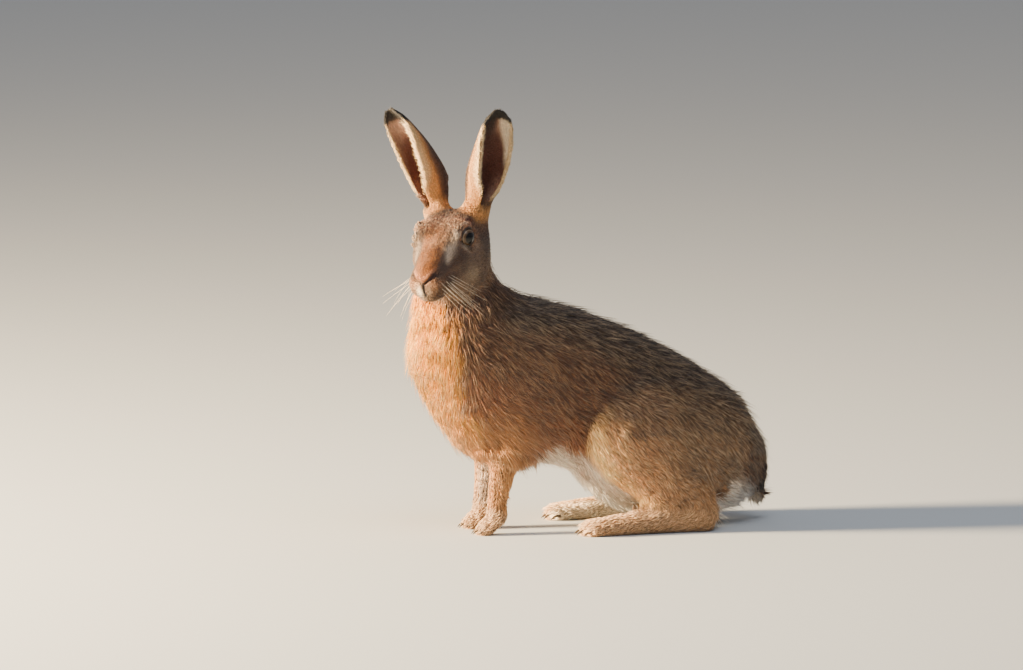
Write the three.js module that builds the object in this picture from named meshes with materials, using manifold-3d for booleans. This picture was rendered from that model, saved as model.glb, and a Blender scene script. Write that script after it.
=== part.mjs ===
// A brown hare sitting up alert, its head turned to its left: a still, life-size model.
// Millimetres. The hare faces -X, its left side is -Y and up is +Z. Its feet rest on Z = 0,
// and the origin is on the floor under the middle of its box.

import * as THREE from 'three';
import { ParametricGeometry } from 'three/addons/geometries/ParametricGeometry.js';
import { mergeVertices } from 'three/addons/utils/BufferGeometryUtils.js';
import Module from 'manifold-3d';

const wasm = await Module();
wasm.setup();

// Driving dimensions. The outline is that of the coat, out to the tips of its hair.
const CHEST_X = -98;
const RUMP_X = 263;
const GAP = 0.3;

// How far the parts of the body run into each other, as the width of the rounded crease
const CREASE = { body: 28, limb: 15, foot: 12, head: 12, face: 6 };

// The size of the facets, finer where the shape is finer
const FACET = { torso: 18, neck: 13.5, head: 7.2, foreleg: 8.4, hindFoot: 10, tail: 10 };

// The trunk by its upright sections: where along the body, back line, belly line, half width
const TRUNK = [
  { x: CHEST_X, top: 238, bottom: 124, half: 47 },
  { x: -75, top: 243, bottom: 106, half: 52 },
  { x: -43, top: 246, bottom: 78, half: 56 },
  { x: -8, top: 243, bottom: 73, half: 58 },
  { x: 51, top: 228, bottom: 62, half: 59 },
  { x: 93, top: 213, bottom: 28, half: 60 },
  { x: 134, top: 195, bottom: 13, half: 60 },
  { x: 208, top: 152, bottom: 12, half: 54 },
  { x: RUMP_X, top: 104, bottom: 24, half: 42 },
];
const TRUNK_ENDS = { front: 44, back: 46, squareness: 2.25 };

// Round and oval lengths of the body: centre of each section, its depth and width as radii
const NECK = [
  { at: [-48, 0, 196], deep: 54, wide: 52 },
  { at: [-60, -2, 242], deep: 41, wide: 42 },
  { at: [-58, -8, 284], deep: 32, wide: 33 },
];
const THIGH = [
  { at: [190, -37, 92], deep: 50, wide: 34 },
  { at: [140, -46, 98], deep: 47, wide: 30 },
  { at: [101, -52, 107], deep: 39, wide: 26 },
];
const SHANK = [
  { at: [114, -54, 84], deep: 37, wide: 24 },
  { at: [150, -57, 48], deep: 31, wide: 21 },
  { at: [180, -58, 24], deep: 18, wide: 16 },
];
const HIND_FOOT = [
  { at: [184, -58, 11], deep: 13, wide: 14 },
  { at: [120, -59, 11], deep: 13, wide: 14 },
  { at: [64, -60, 7], deep: 10, wide: 16 },
];
const FORELEG = [
  { at: [-8, -38, 168], deep: 44, wide: 21 },
  { at: [2, -34, 112], deep: 27, wide: 17 },
  { at: [-16, -27, 72], deep: 15, wide: 13 },
  { at: [-23, -24, 32], deep: 10, wide: 10 },
];
const FOREPAW = [
  { at: [-22, -24, 18], deep: 10, wide: 10.5 },
  { at: [-36, -24, 5.2], deep: 9, wide: 12 },
];
const TAIL = [
  { at: [236, 0, 88], deep: 16, wide: 15 },
  { at: [255, 0, 58], deep: 13, wide: 15 },
  { at: [259, 0, 30], deep: 9, wide: 12 },
];

// The head, in its own directions: forward and up from the tip of the nose, and to its left
const HEAD = { nose: [-116, -79, 262], turn: 50.4, nod: 22.6, roll: 3.1, length: 118 };
const SKULL = [
  { x: -HEAD.length, top: 26, bottom: -30, half: 25 },
  { x: -94, top: 31, bottom: -37, half: 28 },
  { x: -74, top: 29.5, bottom: -37, half: 28 },
  { x: -56, top: 26, bottom: -33, half: 25 },
  { x: -34, top: 20.5, bottom: -29, half: 21 },
  { x: -14, top: 13.5, bottom: -26, half: 18 },
  { x: 1, top: 8.5, bottom: -22, half: 16 },
];
const SKULL_ENDS = { front: 30, back: 13, squareness: 2.3 };
const BROW = { at: [-65, 18.5, 25], radii: [15, 13.5, 7] };
const CHEEKBONE = { at: [-53, 17.5, 5], radii: [16, 10.5, 11] };
const CHEEK = { at: [-66, 19, -12], radii: [24, 12, 19] };
const WHISKER_PAD = { at: [-17, 10.5, -7], radii: [15, 10, 10] };
const CHIN = { at: [-18, 0, -19], radii: [12, 9, 7] };
const EYE = {
  at: [-67, 22, 16.5],
  radius: 10.3,
  facing: [0.25, 0.97, 0],
  opening: 9.4,
  sides: 12,
  rings: 8,
};
const LIDS = { thickness: 2.2, dishRadii: [14, 14, 11] };
const EAR_STALK = { deep: [14, 14, 14], wide: [15, 14, 14], along: [-0.06, 0.12, 0.2] };
const EAR_BAY = { radius: 18, height: 60, sides: 16 };

// An ear: where it leaves the head, how it rises, and how its cup is rolled
const EAR = {
  root: [-105, 18.5, 17],
  rise: [-34, 38, 109],
  stalk: EAR_STALK.along[1],
  columns: 14,
  rows: 13,
};
// How each ear curls over and bows sideways, and how far outward its cup opens
const EAR_STANCE = {
  left: { curl: [18, 8, -1.5], bow: 13, opening: 50 },
  right: { curl: [15, 6, 0.5], bow: -6, opening: 20 },
};
const EAR_PROFILE = [
  { along: 0.12, depth: 1.1, radius: 13.5, wall: 13, front: 168, rear: 168, forward: -2 },
  { along: 0.19, depth: 1.5, radius: 14.5, wall: 7, front: 160, rear: 158, forward: -1 },
  { along: 0.27, depth: 1.6, radius: 16.8, wall: 4, front: 146, rear: 120, forward: 0 },
  { along: 0.4, depth: 1.4, radius: 19.8, wall: 3.6, front: 122, rear: 104, forward: 1 },
  { along: 0.6, depth: 1.15, radius: 20.8, wall: 3.2, front: 108, rear: 94, forward: 2 },
  { along: 0.8, depth: 0.95, radius: 19, wall: 2.8, front: 88, rear: 86, forward: 1.5 },
  { along: 0.93, depth: 0.9, radius: 14.5, wall: 2.6, front: 78, rear: 82, forward: 0 },
  { along: 0.99, depth: 0.9, radius: 7.5, wall: 2.2, front: 78, rear: 82, forward: -3 },
];

// Where the body is parted, as a point of the cut and the direction that it faces
const CUTS = {
  throat: { at: [-50, -7, 272], facing: [0.34, 0.41, -0.85] },
  shoulder: { at: [-60, 0, 226], facing: [0.32, 0, -0.95] },
  knee: { at: [145, 0, 66], facing: [-0.27, 0, -0.96] },
  ankle: { at: [150, 0, 27], facing: [-0.04, 0, -1] },
  wrist: { at: [-22, 0, 27], facing: [-0.3, 0, -0.95] },
};

// Rounded spaces that hold a limb or the tail apart from the trunk
const HAUNCH_SPACE = { at: [141, -78, 78], radii: [97, 46, 90] };
const FOOT_SPACE = { at: [120, -66, 0], radii: [104, 31, 42] };
const FORELEG_SPACE = { at: [-20, -26, 34], radii: [48, 24, 62] };
const TAIL_SPACE = { at: [272, 0, 52], radii: [24, 24, 52] };

// The boxes that are worked into facets, as lowest and highest corner, those of the legs for the left
const REGIONS = {
  torso: [[-150, -118, -30], [306, 118, 340]],
  tail: [[210, -40, -10], [300, 40, 120]],
  neck: [[-130, -80, 180], [40, 80, 350]],
  hindLeg: [[20, -112, -20], [240, -20, 112]],
  foreleg: [[-84, -62, -20], [44, 6, 112]],
  head: [[-156, -63, -80], [18, 63, 74]],
};

// How far the facets stay inside their box, in facets
const MARGIN = 1.2;

const COLOURS = {
  back: 0x6b5138,
  neck: 0x8c5f3c,
  face: 0x8a6a48,
  leg: 0x86613d,
  paw: 0xa98a62,
  tail: 0x2b2320,
  ear: 0x7d5b3e,
  eye: 0x1c120b,
};

// A smooth line through one of the values that the stations give, taken along another of them
function lineThrough(stations, along, key) {
  const knots = stations.map((station) => station[along]);
  const values = stations.map((station) => station[key]);
  const slopes = knots.slice(1).map((knot, i) => (values[i + 1] - values[i]) / (knot - knots[i]));
  const bends = knots.map((knot, i) => {
    if (i === 0) return slopes[0];
    if (i === knots.length - 1) return slopes[i - 1];
    if (slopes[i - 1] * slopes[i] <= 0) return 0;
    return (2 * slopes[i - 1] * slopes[i]) / (slopes[i - 1] + slopes[i]);
  });
  return (place) => {
    const p = THREE.MathUtils.clamp(place, knots[0], knots.at(-1));
    const i = Math.min(knots.findLastIndex((knot) => knot <= p), knots.length - 2);
    const span = knots[i + 1] - knots[i];
    const t = (p - knots[i]) / span;
    const rise = (values[i + 1] - values[i]) * (3 - 2 * t) * t * t;
    const ease = span * t * (1 - t) * (bends[i] * (1 - t) - bends[i + 1] * t);
    return values[i] + rise + ease;
  };
}

// Fields: each is a function of a place, below 0 inside the shape and about a distance outside it

// Two shapes run together, with the crease between them rounded
function join(a, b, crease) {
  const overlap = Math.max(crease - Math.abs(a - b), 0) / crease;
  return Math.min(a, b) - (overlap * overlap * crease) / 4;
}

// A long body given by upright sections, rounded off at both ends
function sectionBody(stations, ends) {
  const top = lineThrough(stations, 'x', 'top');
  const bottom = lineThrough(stations, 'x', 'bottom');
  const half = lineThrough(stations, 'x', 'half');
  const first = stations[0].x;
  const last = stations.at(-1).x;
  const power = ends.squareness;
  return (x, y, z) => {
    const middle = (top(x) + bottom(x)) / 2;
    const height = (top(x) - bottom(x)) / 2;
    const width = half(x);
    const intoFront = Math.max(first + ends.front - x, 0) / ends.front;
    const intoBack = Math.max(x - last + ends.back, 0) / ends.back;
    const across = Math.abs(y / width) ** power + Math.abs((z - middle) / height) ** power;
    const reach = (across + (intoFront + intoBack) ** power) ** (1 / power);
    return (reach - 1) * Math.min(width, height);
  };
}

// A length with oval sections, wide across the body and deep along it
function ovalLength(stations) {
  const last = stations.length - 1;
  return (x, y, z) => {
    let nearest = Infinity;
    for (let i = 0; i < last; i += 1) {
      const [a, b] = [stations[i], stations[i + 1]];
      const run = a.at.map((value, axis) => b.at[axis] - value);
      const offset = [x - a.at[0], y - a.at[1], z - a.at[2]];
      const dot = run[0] * offset[0] + run[1] * offset[1] + run[2] * offset[2];
      const t = THREE.MathUtils.clamp(dot / (run[0] ** 2 + run[1] ** 2 + run[2] ** 2), 0, 1);
      const wide = a.wide + (b.wide - a.wide) * t;
      const deep = a.deep + (b.deep - a.deep) * t;
      const across = (offset[1] - run[1] * t) / wide;
      const along = Math.hypot(offset[0] - run[0] * t, offset[2] - run[2] * t) / deep;
      const distance = (Math.hypot(across, along) - 1) * Math.min(wide, deep);
      nearest = Math.min(nearest, distance);
    }
    return nearest;
  };
}

function ovalBall({ at, radii }) {
  const size = Math.min(...radii);
  return (x, y, z) =>
    (Math.hypot((x - at[0]) / radii[0], (y - at[1]) / radii[1], (z - at[2]) / radii[2]) - 1) * size;
}

// The head's own directions as a turn of the world, and the way back from a place to the head
function headPlacement() {
  const turn = THREE.MathUtils.degToRad(HEAD.turn);
  const nod = THREE.MathUtils.degToRad(HEAD.nod);
  const roll = THREE.MathUtils.degToRad(HEAD.roll);
  const forward = new THREE.Vector3(
    -Math.cos(nod) * Math.cos(turn),
    -Math.cos(nod) * Math.sin(turn),
    -Math.sin(nod),
  );
  const left = new THREE.Vector3(Math.sin(turn), -Math.cos(turn), 0).applyAxisAngle(forward, roll);
  const up = new THREE.Vector3().crossVectors(forward, left);
  return new THREE.Matrix4().makeBasis(forward, left, up).setPosition(...HEAD.nose);
}

const toWorld = headPlacement();
const toHead = toWorld.clone().invert();

// The skull, cheeks, brows, muzzle and ear roots, in the head's own directions
function headShape() {
  const skull = sectionBody(SKULL, SKULL_ENDS);
  const brow = ovalBall(BROW);
  const cheekbone = ovalBall(CHEEKBONE);
  const cheek = ovalBall(CHEEK);
  const pad = ovalBall(WHISKER_PAD);
  const chin = ovalBall(CHIN);
  const { along, deep, wide } = EAR_STALK;
  const between = (place) => earLine(place, 1).map((value, i) => (value + earLine(place, -1)[i]) / 2);
  const rings = along.map((place, i) => ({ at: between(place), deep: deep[i], wide: wide[i] }));
  const stalk = ovalLength(rings);
  return (x, y, z) => {
    const side = Math.abs(y);
    let field = join(skull(x, y, z), brow(x, side, z), CREASE.head);
    field = join(field, cheekbone(x, side, z), CREASE.face);
    field = join(field, cheek(x, side, z), CREASE.head);
    field = join(field, pad(x, side, z), CREASE.face);
    field = join(field, chin(x, y, z), CREASE.face);
    return join(field, stalk(x, side, z), CREASE.head);
  };
}

// A place on the middle line of an ear, as if it were the left one
function earLine(along, side) {
  const { curl, bow } = side > 0 ? EAR_STANCE.left : EAR_STANCE.right;
  const line = EAR.root.map((value, i) => value + EAR.rise[i] * along + curl[i] * along ** 2);
  line[1] += bow * along * (1 - along);
  return line;
}

const head = headShape();
const trunk = sectionBody(TRUNK, TRUNK_ENDS);
const neck = ovalLength(NECK);
const thigh = ovalLength(THIGH);
const shank = ovalLength(SHANK);
const hindFoot = ovalLength(HIND_FOOT);
const foreleg = ovalLength(FORELEG);
const forepaw = ovalLength(FOREPAW);
const tail = ovalLength(TAIL);

// The whole animal's outer surface. Its limbs are alike on both sides, so one side stands for two.
function flesh(x, y, z) {
  const side = -Math.abs(y);
  let field = join(trunk(x, y, z), neck(x, y, z), CREASE.body);
  field = join(field, thigh(x, side, z), CREASE.limb);
  const lowerLeg = join(shank(x, side, z), hindFoot(x, side, z), CREASE.foot);
  field = join(field, lowerLeg, CREASE.limb);
  const arm = join(foreleg(x, side, z), forepaw(x, side, z), CREASE.foot);
  field = join(field, arm, CREASE.limb);
  field = join(field, tail(x, y, z), CREASE.foot);
  const e = toHead.elements;
  const inHead = [0, 1, 2].map((i) => e[i] * x + e[i + 4] * y + e[i + 8] * z + e[i + 12]);
  return join(field, head(...inHead), CREASE.head);
}

// The same surface, asked for a place given in the head's own directions
function fleshFromHead(x, y, z) {
  const e = toWorld.elements;
  return flesh(...[0, 1, 2].map((i) => e[i] * x + e[i + 4] * y + e[i + 8] * z + e[i + 12]));
}

// The closed surface where a field is 0: one point for each cell that it crosses, moved onto it
function facetsOf(shape, low, high, step) {
  const counts = low.map((value, axis) => Math.ceil((high[axis] - value) / step) + 1);
  const stride = [1, counts[0], counts[0] * counts[1]];
  const samples = new Float64Array(counts[0] * counts[1] * counts[2]);
  const top = low.map((value, axis) => value + (counts[axis] - 1) * step);
  const inBox = (x, y, z) => {
    const place = [x, y, z];
    const outside = place.map((value, axis) => Math.max(low[axis] - value, value - top[axis]));
    return Math.max(shape(x, y, z), Math.max(...outside) + MARGIN * step);
  };
  for (let k = 0, n = 0; k < counts[2]; k += 1) {
    for (let j = 0; j < counts[1]; j += 1) {
      for (let i = 0; i < counts[0]; i += 1, n += 1) {
        samples[n] = inBox(low[0] + i * step, low[1] + j * step, low[2] + k * step);
      }
    }
  }
  const corners = [];
  for (let c = 0; c < 8; c += 1) corners.push([c & 1, (c >> 1) & 1, (c >> 2) & 1]);
  const edges = [];
  for (let c = 0; c < 8; c += 1) {
    for (const bit of [1, 2, 4]) if (!(c & bit)) edges.push([c, c | bit]);
  }
  const shift = corners.map(([i, j, k]) => i * stride[0] + j * stride[1] + k * stride[2]);
  const points = [];
  const pointOf = new Map();
  for (let k = 0; k < counts[2] - 1; k += 1) {
    for (let j = 0; j < counts[1] - 1; j += 1) {
      for (let i = 0; i < counts[0] - 1; i += 1) {
        const cell = i * stride[0] + j * stride[1] + k * stride[2];
        const sum = new THREE.Vector3();
        let crossings = 0;
        for (const [a, b] of edges) {
          const [fa, fb] = [samples[cell + shift[a]], samples[cell + shift[b]]];
          if (fa < 0 === fb < 0) continue;
          const t = fa / (fa - fb);
          sum.x += corners[a][0] + (corners[b][0] - corners[a][0]) * t;
          sum.y += corners[a][1] + (corners[b][1] - corners[a][1]) * t;
          sum.z += corners[a][2] + (corners[b][2] - corners[a][2]) * t;
          crossings += 1;
        }
        if (crossings === 0) continue;
        pointOf.set(cell, points.length);
        const place = sum.divideScalar(crossings).add(new THREE.Vector3(i, j, k)).multiplyScalar(step);
        points.push(settle(inBox, place.add(new THREE.Vector3(...low)), step));
      }
    }
  }
  const triangles = [];
  for (const [cell] of pointOf) {
    for (let axis = 0; axis < 3; axis += 1) {
      const [fa, fb] = [samples[cell], samples[cell + stride[axis]]];
      if (fa < 0 === fb < 0) continue;
      const [u, v] = [stride[(axis + 1) % 3], stride[(axis + 2) % 3]];
      const [a, b, c, d] = [cell, cell - u, cell - u - v, cell - v].map((at) => pointOf.get(at));
      const [across, along] = [points[a].distanceTo(points[c]), points[b].distanceTo(points[d])];
      const ring = across < along ? [a, b, c, d] : [b, c, d, a];
      if (fa < 0) ring.reverse();
      triangles.push(ring[0], ring[2], ring[1], ring[0], ring[3], ring[2]);
    }
  }
  return solidFrom(points.flatMap((point) => point.toArray()), triangles);
}

// Moves a place onto the surface along the steepest way, by no more than half a step each time
function settle(field, place, step) {
  const d = step / 50;
  const grow = new THREE.Vector3();
  for (let round = 0; round < 3; round += 1) {
    const { x, y, z } = place;
    const here = field(x, y, z);
    grow.set(field(x + d, y, z) - here, field(x, y + d, z) - here, field(x, y, z + d) - here);
    grow.divideScalar(d);
    const move = THREE.MathUtils.clamp(-here / grow.length(), -step / 2, step / 2);
    place.addScaledVector(grow.normalize(), move);
  }
  return place;
}

function solidFrom(positions, triangles) {
  const mesh = new wasm.Mesh({
    numProp: 3,
    vertProperties: new Float32Array(positions),
    triVerts: new Uint32Array(triangles),
  });
  return new wasm.Manifold(mesh);
}

// A solid from a closed geometry, with its shared corners merged and its folded facets left out
function solidOf(geometry) {
  geometry.deleteAttribute('normal');
  geometry.deleteAttribute('uv');
  const merged = mergeVertices(geometry, 1e-4);
  const kept = [];
  for (let i = 0; i < merged.index.count; i += 3) {
    const [a, b, c] = [0, 1, 2].map((corner) => merged.index.getX(i + corner));
    if (a !== b && b !== c && c !== a) kept.push(a, b, c);
  }
  return solidFrom(merged.attributes.position.array, kept);
}

function ball({ at, radii }, clearance = 0, sides = 14, rings = 9) {
  const geometry = new THREE.SphereGeometry(1, sides, rings);
  geometry.rotateX(Math.PI / 2);
  geometry.scale(...radii.map((radius) => radius + clearance));
  geometry.translate(...at);
  return solidOf(geometry);
}

// The part of a solid in front of a cut, and the part behind it, each kept clear of it
function inFront(solid, cut, clearance = GAP / 2) {
  const facing = new THREE.Vector3(...cut.facing).normalize();
  return solid.trimByPlane(facing.toArray(), facing.dot(new THREE.Vector3(...cut.at)) + clearance);
}

function behind(solid, cut, clearance = GAP / 2) {
  return inFront(solid, { at: cut.at, facing: cut.facing.map((value) => -value) }, clearance);
}

const onFloor = (solid) => inFront(solid, { at: [0, 0, 0], facing: [0, 0, 1] }, 0);

// A space of the left side, or its like on the right
function onSide(space, side) {
  return { ...space, at: [space.at[0], space.at[1] * side, space.at[2]] };
}

// The largest body of a solid, without the crumbs that a cut may leave beside it
function mainBody(solid) {
  return solid.decompose().reduce((a, b) => (a.volume() > b.volume() ? a : b));
}

function named(name, geometry, colour, roughness = 0.9) {
  const material = new THREE.MeshStandardMaterial({ color: colour, roughness, metalness: 0 });
  const mesh = new THREE.Mesh(geometry, material);
  mesh.name = name;
  return mesh;
}

function coated(name, solid, colour) {
  const { vertProperties, triVerts } = mainBody(solid).getMesh();
  const geometry = new THREE.BufferGeometry();
  geometry.setAttribute('position', new THREE.BufferAttribute(vertProperties, 3));
  geometry.setIndex(new THREE.BufferAttribute(triVerts, 1));
  geometry.computeVertexNormals();
  return named(name, geometry, colour);
}

// One hind leg: thigh, shank and the long foot that lies flat. The rest of the body goes round it.
function hindLeg(group, core, torso, side) {
  const name = side > 0 ? 'left' : 'right';
  const lowLeg = facetsOf(flesh, ...sideBox(REGIONS.hindLeg, side), FACET.hindFoot);
  const footSpace = onSide(FOOT_SPACE, side);
  const haunchSpace = onSide(HAUNCH_SPACE, side);
  const footCell = inFront(ball(footSpace), CUTS.ankle);
  const wideFootCell = inFront(ball(footSpace, GAP), CUTS.ankle, -GAP / 2);
  const haunch = ball(haunchSpace).subtract(wideFootCell);
  const leg = onFloor(lowLeg);
  group.add(coated(`hind_foot_${name}`, footCell.intersect(leg), COLOURS.paw));
  group.add(coated(`shank_${name}`, inFront(haunch, CUTS.knee).intersect(leg), COLOURS.leg));
  group.add(coated(`thigh_${name}`, behind(haunch, CUTS.knee).intersect(torso), COLOURS.leg));
  return core.subtract(ball(haunchSpace, GAP)).subtract(wideFootCell);
}

// One foreleg with its paw
function frontLeg(group, core, side) {
  const name = side > 0 ? 'left' : 'right';
  const lowArm = facetsOf(flesh, ...sideBox(REGIONS.foreleg, side), FACET.foreleg);
  const armSpace = onSide(FORELEG_SPACE, side);
  const arm = onFloor(ball(armSpace).intersect(lowArm));
  group.add(coated(`foreleg_${name}`, behind(arm, CUTS.wrist), COLOURS.leg));
  group.add(coated(`forepaw_${name}`, inFront(arm, CUTS.wrist), COLOURS.paw));
  return core.subtract(ball(armSpace, GAP));
}

// A box given for one side, or its like on the other
function sideBox([low, high], side) {
  if (side > 0) return [low, high];
  return [[low[0], -high[1], low[2]], [high[0], -low[1], high[2]]];
}

// Trunk, neck, tail and legs
function bodyGroup() {
  const group = new THREE.Group();
  const torso = facetsOf(flesh, ...REGIONS.torso, FACET.torso);
  let core = onFloor(inFront(torso, CUTS.shoulder));
  for (const side of [1, -1]) {
    core = hindLeg(group, core, torso, side);
    core = frontLeg(group, core, side);
  }
  const rear = facetsOf(flesh, ...REGIONS.tail, FACET.tail);
  group.add(coated('tail', rear.intersect(ball(TAIL_SPACE)), COLOURS.tail));
  group.add(coated('trunk', core.subtract(ball(TAIL_SPACE, GAP)), COLOURS.back));
  const collar = facetsOf(flesh, ...REGIONS.neck, FACET.neck);
  group.add(coated('neck', inFront(behind(collar, CUTS.shoulder), CUTS.throat), COLOURS.neck));
  return group;
}

// An ear's own directions at a height along it, as if it were the left one: up, out of the opening,
// and to the front
function earDirections(along, side) {
  const { curl, opening } = side > 0 ? EAR_STANCE.left : EAR_STANCE.right;
  const up = new THREE.Vector3(...EAR.rise).addScaledVector(new THREE.Vector3(...curl), 2 * along);
  up.normalize();
  const turn = THREE.MathUtils.degToRad(opening);
  const out = new THREE.Vector3(Math.cos(turn), Math.sin(turn), 0);
  out.addScaledVector(up, -out.dot(up)).normalize();
  return { up, out, front: new THREE.Vector3().crossVectors(out, up) };
}

// An ear is a cup rolled out of a thick leaf: a round stalk that opens forward and outward, widens,
// and closes to a blunt tip. Each ring of points runs round the outer face and back round the inner.
function earGeometry(side) {
  const line = (key) => lineThrough(EAR_PROFILE, 'along', key);
  const [radius, wall, depth] = [line('radius'), line('wall'), line('depth')];
  const [front, rear, forward] = [line('front'), line('rear'), line('forward')];
  const half = EAR.columns / 2;
  const last = EAR_PROFILE.at(-1).along;
  const leaf = (u, v, target) => {
    const row = Math.round(v * EAR.rows);
    const column = Math.round((side > 0 ? u : 1 - u) * EAR.columns) % EAR.columns;
    const climb = THREE.MathUtils.clamp((row - 1) / (EAR.rows - 2), 0, 1);
    const along = THREE.MathUtils.lerp(EAR.stalk, last, climb);
    const { out, front: ahead } = earDirections(along, side);
    const outer = column < half;
    const turn = outer ? column / (half - 1) : 1 - (column - half) / (half - 1);
    let angle = THREE.MathUtils.degToRad(THREE.MathUtils.lerp(-rear(along), front(along), turn));
    let reach = radius(along) - (outer ? 0 : wall(along));
    const centre = new THREE.Vector3(...earLine(along, side)).addScaledVector(out, forward(along));
    if (row === 0) reach = 0;
    if (row === EAR.rows) {
      reach = radius(along) - wall(along) / 2;
      angle = 0;
      centre.add(new THREE.Vector3(...earLine(1, side))).sub(new THREE.Vector3(...earLine(along, side)));
    }
    const deepen = Math.cos(angle) > 0 ? depth(along) : 1;
    target.copy(centre).addScaledVector(out, -Math.cos(angle) * reach * deepen);
    target.addScaledVector(ahead, Math.sin(angle) * reach);
    target.y *= side;
  };
  return new ParametricGeometry(leaf, EAR.columns, EAR.rows);
}

// The head, its ears and its eyes, in the head's own directions
function headGroup() {
  const group = new THREE.Group();
  toWorld.decompose(group.position, group.quaternion, group.scale);
  let skull = facetsOf(fleshFromHead, ...REGIONS.head, FACET.head);
  const at = new THREE.Vector3(...CUTS.throat.at).applyMatrix4(toHead).toArray();
  const facing = new THREE.Vector3(...CUTS.throat.facing).transformDirection(toHead).toArray();
  skull = behind(skull, { at, facing });
  for (const side of [1, -1]) {
    const name = side > 0 ? 'left' : 'right';
    skull = skull.add(ball(onSide(eyeBall, side), LIDS.thickness, EYE.sides, EYE.rings));
    skull = skull.subtract(ball(onSide(eyeBall, side), GAP, EYE.sides, EYE.rings));
    skull = skull.subtract(ball(onSide(lidDish(), side), 0, EYE.sides, EYE.rings));
    skull = skull.subtract(earBay(side));
    const ear = solidOf(earGeometry(side));
    group.add(coated(`ear_${name}`, ear, COLOURS.ear));
    const globe = new THREE.SphereGeometry(EYE.radius, EYE.sides, EYE.rings);
    const eye = named(`eye_${name}`, globe, COLOURS.eye, 0.15);
    eye.position.set(EYE.at[0], EYE.at[1] * side, EYE.at[2]);
    eye.rotation.x = Math.PI / 2;
    group.add(eye);
  }
  group.add(coated('head', skull, COLOURS.face));
  return group;
}

const eyeBall = { at: EYE.at, radii: Array(3).fill(EYE.radius) };

// The shallow dish that opens the lids in front of an eye
function lidDish() {
  const facing = new THREE.Vector3(...EYE.facing).normalize();
  const toLids = Math.sqrt(EYE.radius ** 2 - EYE.opening ** 2);
  const away = toLids + Math.sqrt(LIDS.dishRadii[0] ** 2 - EYE.opening ** 2);
  const centre = new THREE.Vector3(...EYE.at).addScaledVector(facing, away);
  return { at: centre.toArray(), radii: LIDS.dishRadii };
}

// The space above the cut where an ear begins, which the head is kept out of
function earBay(side) {
  const { radius, height, sides } = EAR_BAY;
  const { up } = earDirections(EAR.stalk, side);
  const geometry = new THREE.CylinderGeometry(radius, radius, height, sides);
  geometry.translate(0, height / 2 - GAP, 0);
  geometry.applyQuaternion(new THREE.Quaternion().setFromUnitVectors(new THREE.Vector3(0, 1, 0), up));
  geometry.translate(...earLine(EAR.stalk, side));
  if (side < 0) geometry.applyMatrix4(new THREE.Matrix4().makeScale(1, -1, 1));
  if (side < 0) geometry.index.array.reverse();
  return solidOf(geometry);
}

const hare = new THREE.Group();
hare.add(bodyGroup(), headGroup());
hare.updateMatrixWorld(true);
const box = new THREE.Box3().setFromObject(hare, true);
const middle = box.getCenter(new THREE.Vector3());
hare.position.set(-middle.x, -middle.y, -box.min.z);

const model = new THREE.Group();
model.add(hare);

export default model;
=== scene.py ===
import copy
import math

import bmesh
import bpy
import numpy as np
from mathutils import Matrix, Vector, kdtree
from mathutils.bvhtree import BVHTree


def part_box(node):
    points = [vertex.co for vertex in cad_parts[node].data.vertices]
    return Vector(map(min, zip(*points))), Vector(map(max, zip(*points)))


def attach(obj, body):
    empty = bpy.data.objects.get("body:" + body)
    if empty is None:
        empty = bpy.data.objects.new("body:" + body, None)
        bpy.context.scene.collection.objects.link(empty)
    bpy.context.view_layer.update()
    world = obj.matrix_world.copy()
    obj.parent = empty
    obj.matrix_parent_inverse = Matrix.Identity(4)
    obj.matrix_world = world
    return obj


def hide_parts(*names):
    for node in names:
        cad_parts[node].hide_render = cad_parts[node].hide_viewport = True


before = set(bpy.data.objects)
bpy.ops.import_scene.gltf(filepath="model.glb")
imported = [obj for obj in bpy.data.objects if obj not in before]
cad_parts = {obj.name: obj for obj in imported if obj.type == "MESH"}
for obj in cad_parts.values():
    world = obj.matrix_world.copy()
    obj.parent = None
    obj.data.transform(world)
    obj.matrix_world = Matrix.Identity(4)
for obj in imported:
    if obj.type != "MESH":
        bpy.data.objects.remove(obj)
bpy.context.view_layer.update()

MM = 0.001

# The view: what it looks at, from where in degrees and metres, and how long the lens is
AIM = Vector((-0.0715, 0.0026, 0.1975))
VIEW_AZIMUTH = -17
VIEW_ELEVATION = 7
VIEW_DISTANCE = 8.0
VIEW_LENS = 281
SENSOR = 36

# The head's own directions, in millimetres forward and up from the tip of the nose and to its left
HEAD_TURN = math.radians(50.4)
HEAD_NOD = math.radians(22.6)
HEAD_ROLL = math.radians(3.1)
EYE_AT = np.array([-67, 22, 16.5])
EYE_RADIUS = 10.3
EYE_FACING = np.array([0.25, 0.97, 0]) / math.hypot(0.25, 0.97)

# The ears, in the head's directions: root, rise to the tip, then for the left and the right one how
# they curl over, bow sideways and open
EAR_ROOT = np.array([-105, 18.5, 17])
EAR_RISE = np.array([-34, 38, 109])
EAR_CURL = np.array([[18, 8, -1.5], [15, 6, 0.5]])
EAR_BOW = np.array([13, -6])
EAR_OPENING = np.radians([50, 20])

# How far round the cup the front and rear rims are, in degrees, at heights along an ear
EAR_HEIGHTS = [0.12, 0.19, 0.27, 0.4, 0.6, 0.8, 0.93]
FRONT_RIM = [168, 160, 146, 122, 108, 88, 78]
REAR_RIM = [168, 158, 120, 104, 94, 86, 82]

NOSTRIL_RISE = math.radians(33)

EYES = ("eye_left", "eye_right")
FLESH = [name for name in sorted(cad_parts) if name not in EYES]

# How the skin is made: the size of its net, how far the nodes swell to close their gaps, how far
# smoothing draws its corners in and lets them out again, and how many triangles are left of it
CELL = 1.5 * MM
SWELL = 0.45 * MM
SMOOTH_IN = 0.55
SMOOTH_OUT = 0.57
SKIN_TRIANGLES = 180000

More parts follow.
